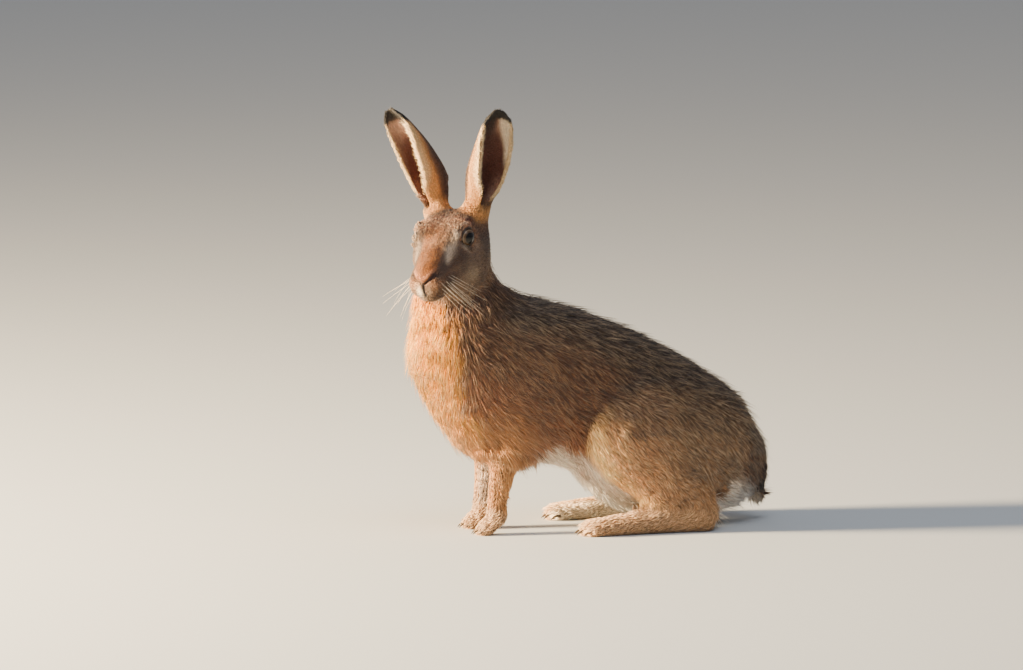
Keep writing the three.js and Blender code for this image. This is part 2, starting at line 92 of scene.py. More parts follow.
# How far the skin and the tufts at least stay above the floor
SKIN_CLEARANCE = 0.3 * MM
TUFT_CLEARANCE = 0.15 * MM


def ramp(value, low, high):
    """0 at low, 1 at high, and smooth between them."""
    t = np.clip((value - low) / (high - low), 0, 1)
    return t * t * (3 - 2 * t)


def hump(value, middle, width):
    """1 at the middle, and falling off over the width to both sides."""
    return np.exp(-((value - middle) / width) ** 2)


def unit(vectors):
    length = np.linalg.norm(vectors, axis=-1, keepdims=True)
    return vectors / np.maximum(length, 1e-12)


def dots(a, b):
    return np.einsum("ij,ij->i", a, b)


def ripple(places, size, seed, waves=9):
    """A smooth wandering value from about -1 to 1, over lengths of about size."""
    rng = np.random.default_rng(seed)
    total = np.zeros(len(places))
    for _ in range(waves):
        way = unit(rng.normal(size=3)) * (2 * math.pi / size) * rng.uniform(0.6, 1.5)
        total += np.sin(places @ way + rng.uniform(0, 2 * math.pi))
    return total / math.sqrt(waves)


def head_frame():
    """The head's directions as rows: forward, left, up."""
    forward = np.array([
        -math.cos(HEAD_NOD) * math.cos(HEAD_TURN),
        -math.cos(HEAD_NOD) * math.sin(HEAD_TURN),
        -math.sin(HEAD_NOD),
    ])
    level = np.array([math.sin(HEAD_TURN), -math.cos(HEAD_TURN), 0])
    left = level * math.cos(HEAD_ROLL) + np.cross(forward, level) * math.sin(HEAD_ROLL)
    return np.array([forward, left, np.cross(forward, left)])


def eye_centre(name):
    low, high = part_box(name)
    return np.array((low + high) / 2)


HEAD_AXES = head_frame()
BETWEEN_EYES = (eye_centre("eye_left") + eye_centre("eye_right")) / 2
NOSE = BETWEEN_EYES - (EYE_AT * [1, 0, 1] * MM) @ HEAD_AXES


def to_head(places):
    """Places of the frame in the head's directions, in millimetres from the nose."""
    return (places - NOSE) @ HEAD_AXES.T / MM


def from_head(places):
    return NOSE + np.asarray(places) * MM @ HEAD_AXES


# Meshes


def make_mesh(name, places, corners, smooth=True):
    """A mesh of triangles."""
    mesh = bpy.data.meshes.new(name)
    mesh.vertices.add(len(places))
    mesh.vertices.foreach_set("co", np.ascontiguousarray(places, np.float32).ravel())
    mesh.loops.add(corners.size)
    mesh.loops.foreach_set("vertex_index", np.ascontiguousarray(corners, np.int32).ravel())
    mesh.polygons.add(len(corners))
    mesh.polygons.foreach_set("loop_start", np.arange(0, corners.size, 3, dtype=np.int32))
    mesh.polygons.foreach_set("use_smooth", np.full(len(corners), smooth))
    mesh.update(calc_edges=True)
    return mesh


def add_object(name, mesh):
    ob = bpy.data.objects.new(name, mesh)
    bpy.context.scene.collection.objects.link(ob)
    return ob


def read_triangles(mesh):
    mesh.calc_loop_triangles()
    places = np.empty(len(mesh.vertices) * 3, np.float32)
    mesh.vertices.foreach_get("co", places)
    corners = np.empty(len(mesh.loop_triangles) * 3, np.int32)
    mesh.loop_triangles.foreach_get("vertices", corners)
    return places.reshape(-1, 3).astype(float), corners.reshape(-1, 3)


def normals_of(places, corners):
    a, b, c = (places[corners[:, i]] for i in range(3))
    faces = np.cross(b - a, c - a)
    total = np.zeros_like(places)
    for i in range(3):
        for axis in range(3):
            total[:, axis] += np.bincount(corners[:, i], faces[:, axis], len(places))
    return unit(total)


def joined(pieces):
    """Several pieces as one set of places and triangles."""
    places, corners, count = [], [], 0
    for own, triangles in pieces:
        places.append(own)
        corners.append(triangles + count)
        count += len(own)
    return np.concatenate(places), np.concatenate(corners)


def edges_of(corners):
    return np.concatenate([corners[:, [0, 1]], corners[:, [1, 2]], corners[:, [2, 0]]])


def tree_of_faces(places, corners):
    return BVHTree.FromPolygons(places.tolist(), corners.tolist())


def tree_of_points(places):
    tree = kdtree.KDTree(len(places))
    for i, place in enumerate(places):
        tree.insert(place, i)
    tree.balance()
    return tree


def add_layer(mesh, name, kind, values):
    """A value, vector or colour that each corner of a mesh carries for its material."""
    field = {"FLOAT": "value", "FLOAT_VECTOR": "vector", "FLOAT_COLOR": "color"}[kind]
    layer = mesh.attributes.new(name, kind, "POINT")
    layer.data.foreach_set(field, np.ascontiguousarray(values, np.float32).ravel())


def add_piece(name, slot, mesh, material, *replaced):
    """A piece of the animal, and the nodes that it replaces. The slot given is not used."""
    mesh.materials.append(material)
    ob = add_object(name, mesh)
    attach(ob, "root")
    if replaced:
        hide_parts(*replaced)
    return ob


class Web:
    """The neighbours of each corner of a mesh of triangles."""

    def __init__(self, corners, count):
        ends = edges_of(corners)
        ends = np.concatenate([ends, ends[:, ::-1]]).astype(np.int64)
        keys = np.unique(ends[:, 0] * count + ends[:, 1])
        source = keys // count
        self.target = keys % count
        self.starts = np.searchsorted(source, np.arange(count))
        self.degree = np.bincount(source, minlength=count)[:, None]

    def spread(self, values, rounds, share=1.0):
        """Each value moves towards the mean of its neighbours' values."""
        for _ in range(rounds):
            mean = np.add.reduceat(values[self.target], self.starts, axis=0) / self.degree
            values = values + share * (mean - values)
        return values


def node_triangles(name):
    """A CAD node's own triangles, with its corners merged."""
    bm = bmesh.new()
    bm.from_mesh(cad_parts[name].data)
    bmesh.ops.remove_doubles(bm, verts=bm.verts, dist=1e-6)
    bmesh.ops.triangulate(bm, faces=bm.faces)
    places = np.array([v.co for v in bm.verts])
    corners = np.array([[v.index for v in f.verts] for f in bm.faces])
    bm.free()
    return places, corners


# The skin

class Skin:
    """The surface under the coat, with what each of its corners says about the coat there."""

    def __init__(self):
        parts = [node_triangles(name) for name in FLESH]
        self.cad = tree_of_faces(*joined(parts))
        self.owner = np.concatenate([np.full(len(c), i) for i, (_, c) in enumerate(parts)])
        self.remesh(parts + [node_triangles(name) for name in EYES])
        self.find_nodes()
        ears = np.isin(self.node, [FLESH.index("ear_left"), FLESH.index("ear_right")])
        self.smooth(16, np.where(ears, 0.3, 1.0)[:, None])
        self.blend_ear_roots()
        self.refine(lambda spots: (spots[:, 0] > -84) & (self.node == FLESH.index("head")))
        self.smooth(3)
        self.refine(lambda spots: (spots[:, 0] > -13) | (eye_place(spots)[0] < 14.5))
        self.web = Web(self.corners, len(self.places))
        self.find_nodes()

    def smooth(self, rounds, share=1.0):
        """Takes the facets off, without shrinking the shape."""
        self.web = Web(self.corners, len(self.places))
        for _ in range(rounds):
            self.places = self.web.spread(self.places, 1, SMOOTH_IN * share)
            self.places = self.web.spread(self.places, 1, -SMOOTH_OUT * share)

    def blend_ear_roots(self):
        """Evens out the step where each ear stands on the head."""
        ear = EarPlace(to_head(self.places))
        root = hump(ear.along, 0.11, 0.08) * ramp(ear.far, 30, 24)
        self.places = self.web.spread(self.places, 14, 0.7 * root[:, None])

    def refine(self, chosen):
        """Splits each triangle among the chosen corners into four, and its neighbours to fit."""
        inside = chosen(to_head(self.places))
        count = len(self.places)
        ends = edges_of(self.corners)
        ends = np.sort(ends[inside[ends].all(axis=1)], axis=1)
        keys = np.unique(ends[:, 0].astype(np.int64) * count + ends[:, 1])
        halves = (self.places[keys // count] + self.places[keys % count]) / 2

        def half(a, b):
            key = np.minimum(a, b).astype(np.int64) * count + np.maximum(a, b)
            return count + np.searchsorted(keys, key)

        held = inside[self.corners].sum(axis=1)
        whole = self.corners[held < 2]
        pairs = self.corners[held == 2]
        turn = np.argmin(inside[pairs], axis=1)
        a, b, c = (pairs[np.arange(len(pairs)), (turn + i) % 3] for i in range(3))
        m = half(b, c)
        split = [np.stack([a, b, m], axis=1), np.stack([a, m, c], axis=1)]
        a, b, c = self.corners[held == 3].T
        ab, bc, ca = half(a, b), half(b, c), half(c, a)
        split += [np.stack(t, axis=1) for t in ((a, ab, ca), (b, bc, ab), (c, ca, bc), (ab, bc, ca))]
        self.places = np.concatenate([self.places, halves])
        self.corners = np.concatenate([whole] + split)

    def remesh(self, parts):
        swollen = [(places + normals_of(places, corners) * SWELL, corners) for places, corners in parts]
        net = modified(make_mesh("rough", *joined(swollen)), "REMESH", mode="VOXEL", voxel_size=CELL)
        self.places, self.corners = largest_island(*read_triangles(net))
        bpy.data.meshes.remove(net)

    def find_nodes(self):
        """Which CAD node each corner belongs to."""
        found = [self.cad.find_nearest(place)[2] for place in self.places.tolist()]
        self.node = self.owner[np.array(found)]

    def normals(self):
        return normals_of(self.places, self.corners)


def modified(mesh, kind, **settings):
    """The mesh as a modifier leaves it, in place of the one given."""
    ob = add_object(mesh.name, mesh)
    change = ob.modifiers.new(kind, kind)
    for key, value in settings.items():
        setattr(change, key, value)
    graph = bpy.context.evaluated_depsgraph_get()
    made = bpy.data.meshes.new_from_object(ob.evaluated_get(graph))
    bpy.data.objects.remove(ob)
    bpy.data.meshes.remove(mesh)
    return made


def largest_island(places, corners):
    """Drops what floats apart from the main surface, such as the walls of a gap closed within it."""
    label = np.arange(len(places))
    while True:
        low = label[corners].min(axis=1)
        fresh = label.copy()
        for i in range(3):
            np.minimum.at(fresh, corners[:, i], low)
        fresh = fresh[fresh]
        if np.array_equal(fresh, label):
            break
        label = fresh
    kept = label == np.bincount(label).argmax()
    order = np.cumsum(kept) - 1
    return places[kept], order[corners[kept[corners[:, 0]]]]


# What grows where

# The coat on each part of the body: its depth, and the length and width of its tufts, in millimetres
COAT = {
    "trunk": (8.0, 20, 1.25),
    "neck": (7.0, 17, 1.2),
    "thigh": (5.5, 15, 1.2),
    "shank": (4.0, 11, 1.1),
    "hind_foot": (2.0, 7, 0.9),
    "foreleg": (2.2, 8, 0.9),
    "forepaw": (1.5, 5.5, 0.8),
    "tail": (4.0, 13, 1.2),
    "head": (2.2, 6.2, 0.62),
    "ear": (0.4, 3.2, 0.5),
}
PARTS = list(COAT)


def part_of(node):
    return PARTS.index(node.removesuffix("_left").removesuffix("_right"))


def sides(head_places):
    """1 on the head's left and -1 on its right."""
    return np.where(head_places[:, 1] > 0, 1, -1)


def mirrored(head_vectors, side):
    """Swaps the right side's vectors over to the left, or back again."""
    return head_vectors * np.stack([np.ones(len(side)), side, np.ones(len(side))], axis=1)


class EarPlace:
    """How far up its ear each place is, from 0 to 1, and how far round, from the rear rim to the front."""

    def __init__(self, head_places):
        self.side = sides(head_places)
        spot = mirrored(head_places, self.side)
        ear = np.where(self.side > 0, 0, 1)
        bow = EAR_BOW[ear][:, None] * [0, 1, 0]
        rise, curl = EAR_RISE + bow, EAR_CURL[ear] - bow

        def beside(along):
            """Each place as seen from its ear's middle line, and the way of the line there."""
            t = along[:, None]
            return spot - (EAR_ROOT + rise * t + curl * t ** 2), rise + 2 * curl * t

        along = (spot - EAR_ROOT) @ EAR_RISE / (EAR_RISE @ EAR_RISE)
        for _ in range(4):
            off, way = beside(along)
            along = along + dots(off, way) / dots(way, way)
        off, way = beside(along)
        self.along = along
        self.up = unit(way)
        opening = EAR_OPENING[ear]
        out = np.stack([np.cos(opening), np.sin(opening), np.zeros(len(ear))], axis=1)
        self.out = unit(out - self.up * dots(self.up, out)[:, None])
        self.ahead = np.cross(self.out, self.up)
        self.far = np.linalg.norm(off, axis=1)
        self.round = np.degrees(np.arctan2(dots(off, self.ahead), -dots(off, self.out)))
        self.to_front = np.interp(along, EAR_HEIGHTS, FRONT_RIM) - self.round
        self.to_rear = np.interp(along, EAR_HEIGHTS, REAR_RIM) + self.round
        turn = np.radians(self.round)[:, None]
        self.away = -self.out * np.cos(turn) + self.ahead * np.sin(turn)

    def inner(self, head_normals):
        """1 on the inner face of the cup and 0 on its outer face."""
        facing = dots(mirrored(head_normals, self.side), self.away)
        return ramp(-facing, -0.25, 0.25)


# Two directions across the eye: towards the nose and towards the brow
EYE_FORWARD = unit(np.array([1, 0, -0.25]) - EYE_FACING * EYE_FACING[0])
EYE_ABOVE = np.cross(EYE_FORWARD, EYE_FACING)


def eye_place(head_places):
    """For each place: millimetres from the nearer eye, degrees from where it looks, and degrees round
    it, with the corner by the nose at 0 and the brow at 90."""
    spot = mirrored(head_places, sides(head_places)) - EYE_AT
    reach = np.linalg.norm(spot, axis=1)
    aside = np.degrees(np.arccos(np.clip(spot @ EYE_FACING / reach, -1, 1)))
    return reach, aside, np.degrees(np.arctan2(spot @ EYE_ABOVE, spot @ EYE_FORWARD))


def stroke(places, line, widths):
    """1 on a line of points and falling off beside it, with a width at each point."""
    line, widths = np.array(line, float), np.array(widths, float)
    mask = np.zeros(len(places))
    for a, b, wide_a, wide_b in zip(line, line[1:], widths, widths[1:]):
        t = ((places - a) @ (b - a) / ((b - a) @ (b - a))).clip(0, 1)
        far = np.linalg.norm(places - a - t[:, None] * (b - a), axis=1)
        mask = np.maximum(mask, np.exp(-(far / (wide_a + t * (wide_b - wide_a))) ** 2))
    return mask


def lid_edge(round_eye):
    """How wide the lids stand open, as degrees from where the eye looks, at a place round it."""
    turn = np.radians(round_eye)
    corner = np.exp(-(round_eye / 17) ** 2) * 15
    rear = np.exp(-((np.abs(round_eye) - 180) / 26) ** 2) * 8
    return 61 + 3 * np.cos(turn) ** 2 + 3 * np.sin(turn) + corner + rear


def nostril_place(left):
    """Millimetres along the slit of the nostril from its inner end, and above its line."""
    aside, up = left[:, 1] - 1.0, left[:, 2] + 1.0
    run, rise = math.cos(NOSTRIL_RISE), math.sin(NOSTRIL_RISE)
    return aside * run + up * rise, up * run - aside * rise


# Markings

def light(*rgb):
    """A colour as the eye would name it, from 0 to 255, as light."""
    value = np.array(rgb) / 255
    return np.where(value <= 0.04045, value / 12.92, ((value + 0.055) / 1.055) ** 2.4)


def tone(middle, pale, dark, pale_share, dark_share):
    """A kind of fur: the colour of its hairs, of pale and dark tips, and how many tips are pale or dark."""
    return np.concatenate([light(*middle), light(*pale), light(*dark), [pale_share, dark_share]])


TONES = {
    "flank": tone((108, 71, 50), (182, 142, 106), (56, 38, 33), 0.3, 0.32),
    "back": tone((98, 82, 72), (190, 168, 144), (44, 36, 36), 0.26, 0.46),
    "rump": tone((104, 86, 70), (182, 160, 134), (46, 38, 36), 0.26, 0.42),
    # the lower flank's rust, darkened with painted shade where the body turns under and away from the light
    "low flank with painted shade": tone((140, 86, 54), (194, 144, 102), (84, 50, 35), 0.3, 0.22),
    "chest": tone((216, 141, 28), (248, 200, 90), (168, 97, 28), 0.4, 0.1),
    "throat": tone((217, 119, 20), (244, 168, 54), (152, 78, 24), 0.3, 0.15),
    "nape": tone((86, 62, 50), (150, 122, 100), (46, 36, 34), 0.24, 0.38),
    "belly": tone((244, 232, 220), (252, 246, 238), (222, 204, 188), 0.4, 0.08),
    "thigh": tone((208, 152, 104), (242, 208, 164), (108, 76, 58), 0.34, 0.26),
    "thigh top": tone((144, 110, 86), (212, 184, 154), (62, 48, 44), 0.3, 0.34),
    # the thigh's own pale buff front edge, brightened with painted sunlight
    "thigh edge with painted sun": tone((252, 208, 140), (255, 236, 190), (222, 164, 100), 0.4, 0.06),
    "black": tone((36, 31, 30), (70, 60, 54), (22, 19, 20), 0.1, 0.3),
    "foreleg": tone((200, 143, 88), (230, 186, 132), (148, 98, 62), 0.25, 0.15),
    "paw": tone((206, 166, 128), (230, 200, 166), (158, 120, 90), 0.3, 0.15),
    "forehead": tone((170, 118, 84), (238, 202, 162), (66, 44, 36), 0.36, 0.34),
    "brow dark": tone((88, 56, 42), (150, 108, 82), (50, 34, 30), 0.2, 0.4),
    "brow pale": tone((214, 180, 146), (240, 214, 186), (150, 112, 84), 0.35, 0.15),
    "bridge": tone((150, 88, 32), (200, 138, 70), (98, 56, 27), 0.3, 0.3),
    "upper bridge": tone((160, 98, 48), (212, 160, 104), (82, 50, 32), 0.3, 0.34),
    # muzzle side: the darker sides of the muzzle, also laid as painted shade beside the bridge on the left
    "muzzle side": tone((82, 54, 38), (120, 86, 62), (54, 36, 27), 0.25, 0.3),
    "muzzle": tone((96, 64, 40), (138, 102, 72), (64, 43, 31), 0.3, 0.2),
    "eye patch": tone((190, 168, 148), (214, 196, 178), (146, 122, 104), 0.35, 0.14),
    "pale edge": tone((222, 196, 168), (240, 222, 200), (190, 160, 132), 0.35, 0.1),
    "cheek": tone((124, 96, 74), (168, 140, 112), (80, 58, 46), 0.3, 0.3),
    "cheek light": tone((178, 152, 122), (208, 186, 158), (130, 104, 82), 0.3, 0.2),
    "white": tone((236, 216, 190), (248, 236, 218), (214, 188, 156), 0.4, 0.08),
    "lid": tone((50, 36, 31), (76, 58, 50), (34, 25, 22), 0.1, 0.2),
    "lid line": tone((244, 222, 192), (252, 238, 218), (200, 168, 136), 0.3, 0.05),
    # nostril: painted shade in and round the slits of the nostrils over their dark bare edges, and down the
    # cleft
    "nostril": tone((52, 32, 30), (84, 56, 50), (30, 20, 19), 0.1, 0.2),
    "nose fold": tone((208, 142, 104), (232, 178, 144), (168, 106, 78), 0.3, 0.1),
    # crown: painted shade in the folds across the crown; the next tone is a painted highlight before them
    "crown": tone((92, 46, 36), (150, 92, 72), (56, 30, 26), 0.16, 0.35),
    "crown light": tone((208, 160, 136), (236, 200, 180), (150, 104, 84), 0.35, 0.1),
    "ear front": tone((210, 150, 86), (236, 190, 130), (164, 108, 60), 0.25, 0.12),
    "ear back": tone((84, 58, 46), (132, 98, 78), (48, 34, 30), 0.2, 0.3),
    "ear inside": tone((112, 64, 52), (148, 96, 80), (74, 42, 34), 0.2, 0.3),
    # painted shade inside the upper cup of the ear and under its front rim
    "ear dark": tone((62, 38, 32), (92, 60, 50), (38, 25, 22), 0.15, 0.3),
    "ear pale": tone((196, 150, 126), (228, 190, 166), (150, 104, 84), 0.3, 0.1),
    # a painted glow of light shining through the thin ear
    "ear glow": tone((255, 232, 204), (255, 244, 228), (236, 204, 170), 0.35, 0.06),
    "ear rim": tone((236, 204, 156), (250, 230, 196), (206, 168, 120), 0.35, 0.08),
}


class Markings:
    """Layers of tones, each laid over the last where its mask says."""

    def __init__(self, count, first):
        self.paint = np.tile(TONES[first], (count, 1))

    def lay(self, name, mask):
        self.paint += np.clip(mask, 0, 1)[:, None] * (TONES[name] - self.paint)

    def within(self, share):
        """A way to lay tones on a share of each place, where all of the masks given say."""
        return lambda name, *masks: self.lay(name, math.prod(masks, start=share))


def paint_body(marks, places, normals, part):
    """Back, flanks, chest, belly and legs. part gives each place's share of each part of the body."""
    x, y, z = (places / MM).T
    to_rear, to_right, to_top = normals.T
    trunk, neck, thigh, shank, hind_foot, foreleg, forepaw, tail, _, _ = part.T
    drift = ripple(places, 0.07, 3)
    up = to_top + 0.12 * drift
    lay = marks.lay
    lay("back", ramp(up, 0.1, 0.75) * ramp(x, -150, -90))
    body = trunk + neck + thigh + shank
    lay("rump", ramp(x + 10 * drift, 80, 160) * ramp(z, 40, 110) * body)
    # The rust of the lower flank, partly its own colour, partly painted shade where it turns under
    lay("low flank with painted shade", ramp(-up, 0.0, 0.45) * ramp(x, 60, 10) * trunk)
    lay("thigh", thigh * ramp(-up, -0.5, -0.1) + shank)
    lay("thigh top", thigh * ramp(up, 0.0, 0.5))
    lay("rump", (thigh + 0.6 * shank) * ramp(x + 8 * drift, 44, 92) * 0.75)
    lay("nape", neck * ramp(to_rear + 0.2 * drift, -0.35, 0.25))
    front = ramp(-to_rear - 0.15 * to_top + 0.15 * drift, 0.1, 0.66)
    lay("chest", front * (neck + trunk * ramp(x, -88, -125)))
    lay("throat", front * neck * ramp(z, 232, 262))
    fore = foreleg + trunk * ramp(x, -60, -95) * ramp(z, 150, 100)
    lay("foreleg", fore * 0.9)
    # Painted shade: the same dark rust on the side of the foreleg that faces the rear, away from the light
    lay("low flank with painted shade", fore * ramp(to_rear + 0.15 * drift, -0.5, 0.0) * ramp(z, 60, 130) * 0.8)
    # The thigh's pale buff front edge, brightened as painted sunlight where it faces the light
    lay("thigh edge with painted sun", ramp(-to_rear + 0.12 * drift, 0.3, 0.7) * (thigh + shank))
    under = ramp(-up, 0.4, 0.75) + ramp(z + 6 * drift, 84, 52) * ramp(x, -40, -10) * ramp(x, 40, 20)
    lay("belly", under * trunk * ramp(x, -95, -70))
    inner = ramp(-to_right * np.sign(y), 0.3, 0.7)
    lay("belly", inner * (thigh + shank + 0.5 * foreleg))
    lay("paw", hind_foot + forepaw)
    lay("white", hind_foot * inner)
    lay("black", tail * ramp(to_rear, -0.1, 0.3))
    lay("white", tail * ramp(-to_rear, -0.05, 0.3))


# Lines of points on the left side of the face: the pale patch before the eye with its widths, the
# brow, the pale line under the lid, the fuller brow that only the right side has, the strip of painted
# shade beside the bridge of the nose that only the left side has, and the folds across the crown, with
# painted shade in them and a painted highlight before them
PATCH_LINE = [[-28, 17, 9], [-38, 17.5, 14.5], [-45, 20.5, 19], [-49, 22, 24], [-57, 23, 30.5]]
PATCH_WIDTHS = [3.2, 5.4, 4.6, 3.2, 2.0]
BROW_LINE = [[-57, 23, 30.5], [-65, 25, 31.5], [-73, 26.5, 28.5]]
LID_LINE = [
    [-48.5, 24.4, 15.2],
    [-50.7, 27.4, 11.1],
    [-56.7, 29.5, 6.4],
    [-65.7, 30.6, 3.0],
    [-76.6, 30.7, 3.2],
]
FAR_BROW_LINE = [[-49, 24, 17], [-52, 25, 22], [-57, 26, 29], [-66, 27, 32]]
BRIDGE_LINE = [[-21, 6, 6], [-30, 6, 10], [-44, 7, 18], [-58, 9, 26]]
CROWN_LINE = [[-80, 0, 33], [-79, 10, 33], [-78, 21, 30], [-83, 26, 23]]


def paint_head(marks, spots, share):
    """Forehead, muzzle, cheeks, the patch before the eye, lids, lips and chin."""
    on_left = spots[:, 1] > 0
    left = mirrored(spots, sides(spots))
    x, wide, z = left.T
    drift = ripple(spots, 22, 5)
    mottle = ripple(spots, 3.2, 31, 20)
    lay = marks.within(share)

    def draw(name, line, widths, *masks):
        lay(name, stroke(left, line, widths), *masks)

    lay("forehead")
    speckled = ramp(-x, 34, 56), ramp(z, 14, 24)
    lay("brow dark", *speckled, ramp(mottle, 0.25, 0.65), 0.9)
    lay("brow pale", *speckled, ramp(-mottle, 0.4, 0.8), 0.8)
    side = ramp(wide + 0.35 * drift, 11, 18) * ramp(-z + 2 * drift, -14, 2)
    marks.lay("cheek", share * side * ramp(-x, 14, 34) + share * ramp(-z, 8, 18))
    lay("upper bridge", ramp(x, -66, -46), ramp(wide, 15, 8), ramp(z, 0, 8))
    lay("bridge", ramp(x, -46, -18), ramp(wide, 15, 9), ramp(z, -4, 4))
    # The darker sides of the muzzle between the bridge and the patch: partly the coat's own brown, partly
    # painted shade
    lay("muzzle side", ramp(x, -60, -44), ramp(wide, 8, 14), ramp(z, -4, 4), ramp(-x, 2, 8))
    # Painted shade: a darker strip beside the bridge of the nose, on the left side only, which turns from
    # the light
    painted_bridge_shade = stroke(spots, BRIDGE_LINE, [3.4, 4.2, 4.8, 5.0]) * ramp(z, 1, 6)
    lay("muzzle side", painted_bridge_shade, 0.72 + 0.2 * ramp(mottle, 0, 0.6))
    draw("muzzle", [[-14, 17, -7], [-6, 13, -10]], [9, 7], 1.2)
    draw("muzzle side", [[-17, 18, -5], [-30, 24, -8], [-42, 28, -6]], [5, 7, 6])
    draw("muzzle", [[-4, 8, -12], [-12, 14, -17], [-22, 16, -20]], [6, 7, 7])
    draw("cheek light", [[-50, 28, -17], [-58, 28, -22]], [8, 7], 0.8)
    lay("nape", ramp(-x, 74, 88), ramp(z, -24, -10), 0.8)
    near = np.where(on_left, 1, 0.5)
    draw("eye patch", PATCH_LINE, PATCH_WIDTHS, 1.15, near)
    draw("pale edge", PATCH_LINE[2:], [1, 2.4, 1.8], 0.8, near)
    draw("pale edge", BROW_LINE, [1.8, 1.6, 1.2], 0.9, near)
    # Painted shade in the folds across the crown, and a painted highlight along the ridge before them
    draw("crown", CROWN_LINE, [4.5, 3.8, 3.4, 3.2], 1.3)
    lay("crown light", stroke(left + [-3.4, 0, 0.5], CROWN_LINE, [1.6, 1.8, 1.8, 1.4]), 0.8)
    reach, aside, round_eye = eye_place(spots)
    draw("lid line", LID_LINE, [0.9, 1.3, 1.4, 1.3, 1.0], 1.4)
    lay("lid", ramp(aside - lid_edge(round_eye), 4, 1), ramp(reach, 13, 11.8))
    lay("muzzle", ramp(-z + 2 * drift, 20, 26), ramp(x, -48, -30))
    lay("white", ramp(-z + 2 * drift, 22, 27), ramp(x, -34, -20), ramp(wide, 12, 7))
    # Painted shade: the white of the lip is laid at a quarter on the left side and in full on the right
    painted_lip_shade = np.where(on_left, 0.25, 1)
    lay("white", ramp(x, -10, -4), ramp(wide, 9, 5), hump(z, -9, 5), painted_lip_shade)
    along, above = nostril_place(left)
    front = ramp(x, -18, -10) * ramp(along, -2, 1) * ramp(along, 15, 11)
    lay("nose fold", front, hump(above, 3.6, 1.6), 0.8)
    # Painted shade in and round the slit of the nostril, over its dark bare edge, wider on the left
    wide_open = np.where(on_left, 1, 0.45)
    lay("nostril", front, hump(above, -0.4, 1.7 + 1.5 * ramp(along, 3, 11)), 1.4, wide_open)
    # Painted shade down the cleft of the upper lip
    lay("nostril", 1.3 * hump(wide, 0, 1.7) * ramp(x, -12, -6) * ramp(-z, 0, 3) * ramp(-z, 17, 12))


def paint_ears(marks, ear, inner, part):
    """Cream and ochre in front, dark behind, brown inside with a pale rim, and a black tip, with
    painted shade behind the right ear and inside the cups, and a painted glow through the left ear.
    """
    stalk = part[:, PARTS.index("head")] * ramp(ear.far, 21, 15) * ramp(ear.along, -0.04, 0.06)
    lay = marks.within(part[:, PARTS.index("ear")] + stalk)
    along, turn = ear.along, ear.round
    inner = inner * ramp(along, 0.14, 0.2)
    outer = 1 - inner
    lay("ear front", outer)
    lay("ear back", outer, ramp(turn, 74, 50), ramp(along, 0.0, 0.2))
    broad = ramp(along, 0.02, 0.2), ramp(along, 0.7, 0.5)
    # Painted shade: a broader dark band on the back of the right ear only, the side turned from the light
    lay("ear back", outer, ear.side < 0, ramp(turn, 96, 70), *broad, 0.8)
    lay("ear rim", outer, ramp(ear.to_front, 36, 2), ramp(along, 0.2, 0.4), 0.9)
    lay("ear rim", outer, ramp(ear.to_rear, 14, 5), ramp(along, 0.16, 0.26))
    lay("ear inside", inner)
    rear = ramp(-turn, 6, 48)
    # Painted shade inside the cup: its upper front half and the strip under its front rim
    lay("ear dark", inner, ramp(along, 0.5, 0.8), 1 - rear)
    lay("ear dark", inner, hump(ear.to_front, 16, 14), ramp(along, 0.5, 0.7), 0.8)
    lay("ear pale", inner, rear, ramp(along, 0.66, 0.82))
    start = np.interp(along, [0.42, 0.6, 0.8, 0.9], [76, 56, 26, 18])
    # Painted light: the glow through the thin ear on the rear of the inner cup, full on the left ear, faint
    # on the right
    glow = ramp(-turn, start, start + 24) * ramp(along, 0.42, 0.56)
    lay("ear glow", inner, glow, np.where(ear.side > 0, 1, 0.12))
    lay("ear pale", inner, ramp(-turn, 40, 80), ramp(along, 0.42, 0.28), 0.5)
    lay("ear rim", inner, ramp(ear.to_rear, 7, 2))
    lay("black", outer, ramp(turn, 56, 36), ramp(along, 0.5, 0.85), 0.8)
    ragged = 0.012 * ripple(ear.up * 9 + turn[:, None] / 16, 1.0, 41)
    tip = along + 0.05 * outer * ramp(-np.abs(turn - 10), -100, -20) + ragged
    tip = tip + 0.04 * inner * ramp(turn, -20, 40)
    lay("black", ramp(tip, 0.86, 0.9))


# The lie of the coat

def lie_of(places, spots, ear, part):
    """The way that the hair points, before it is combed smooth and laid along the skin."""
    down = ramp(-places[:, 0] / MM, 95, 160)[:, None]
    ways = {
        "trunk": (1 - down) * [1, 0, -0.85] + down * [-0.25, 0, -1],
        "neck": [0.2, 0, -1],
        "thigh": [0.75, 0, -0.8],
        "shank": [0.7, 0, -0.6],
        "hind_foot": [-1, 0, -0.25],
        "foreleg": [0.05, 0, -1],
        "forepaw": [-1, 0, -0.5],
        "tail": [0.2, 0, -1],
    }
    lie = sum(part[:, [PARTS.index(name)]] * way for name, way in ways.items())
    side = sides(spots)
    left = mirrored(spots, side)
    height = left[:, 2]
    nose = ramp(left[:, 0], -9, -2)
    face = np.stack([
        nose - 1,
        (0.12 + 0.5 * nose) * side,
        0.35 * ramp(height, 4, 20) - 0.45 * ramp(-height, 0, 14) + nose * ramp(height, -5, 1),
    ], axis=1)
    from_eye = left - EYE_AT
    reach = np.linalg.norm(from_eye, axis=1)
    push = unit(from_eye) * ramp(reach, 27, 13)[:, None] * 0.9
    face += mirrored(push, side)
    up = mirrored(ear.up, side)
    stalk = near_ear(ear)[:, None]
    face = unit(face) * (1 - stalk) + up * stalk
    lie += part[:, [PARTS.index("head")]] * face @ HEAD_AXES
    lie += part[:, [PARTS.index("ear")]] * up @ HEAD_AXES
    return lie


def near_ear(ear):
    """1 on the stalks of the ears and falling off round them."""
    return ramp(ear.far, 27, 16) * ramp(ear.along, -0.16, 0.04)


# How deep the coat is, and the face under it

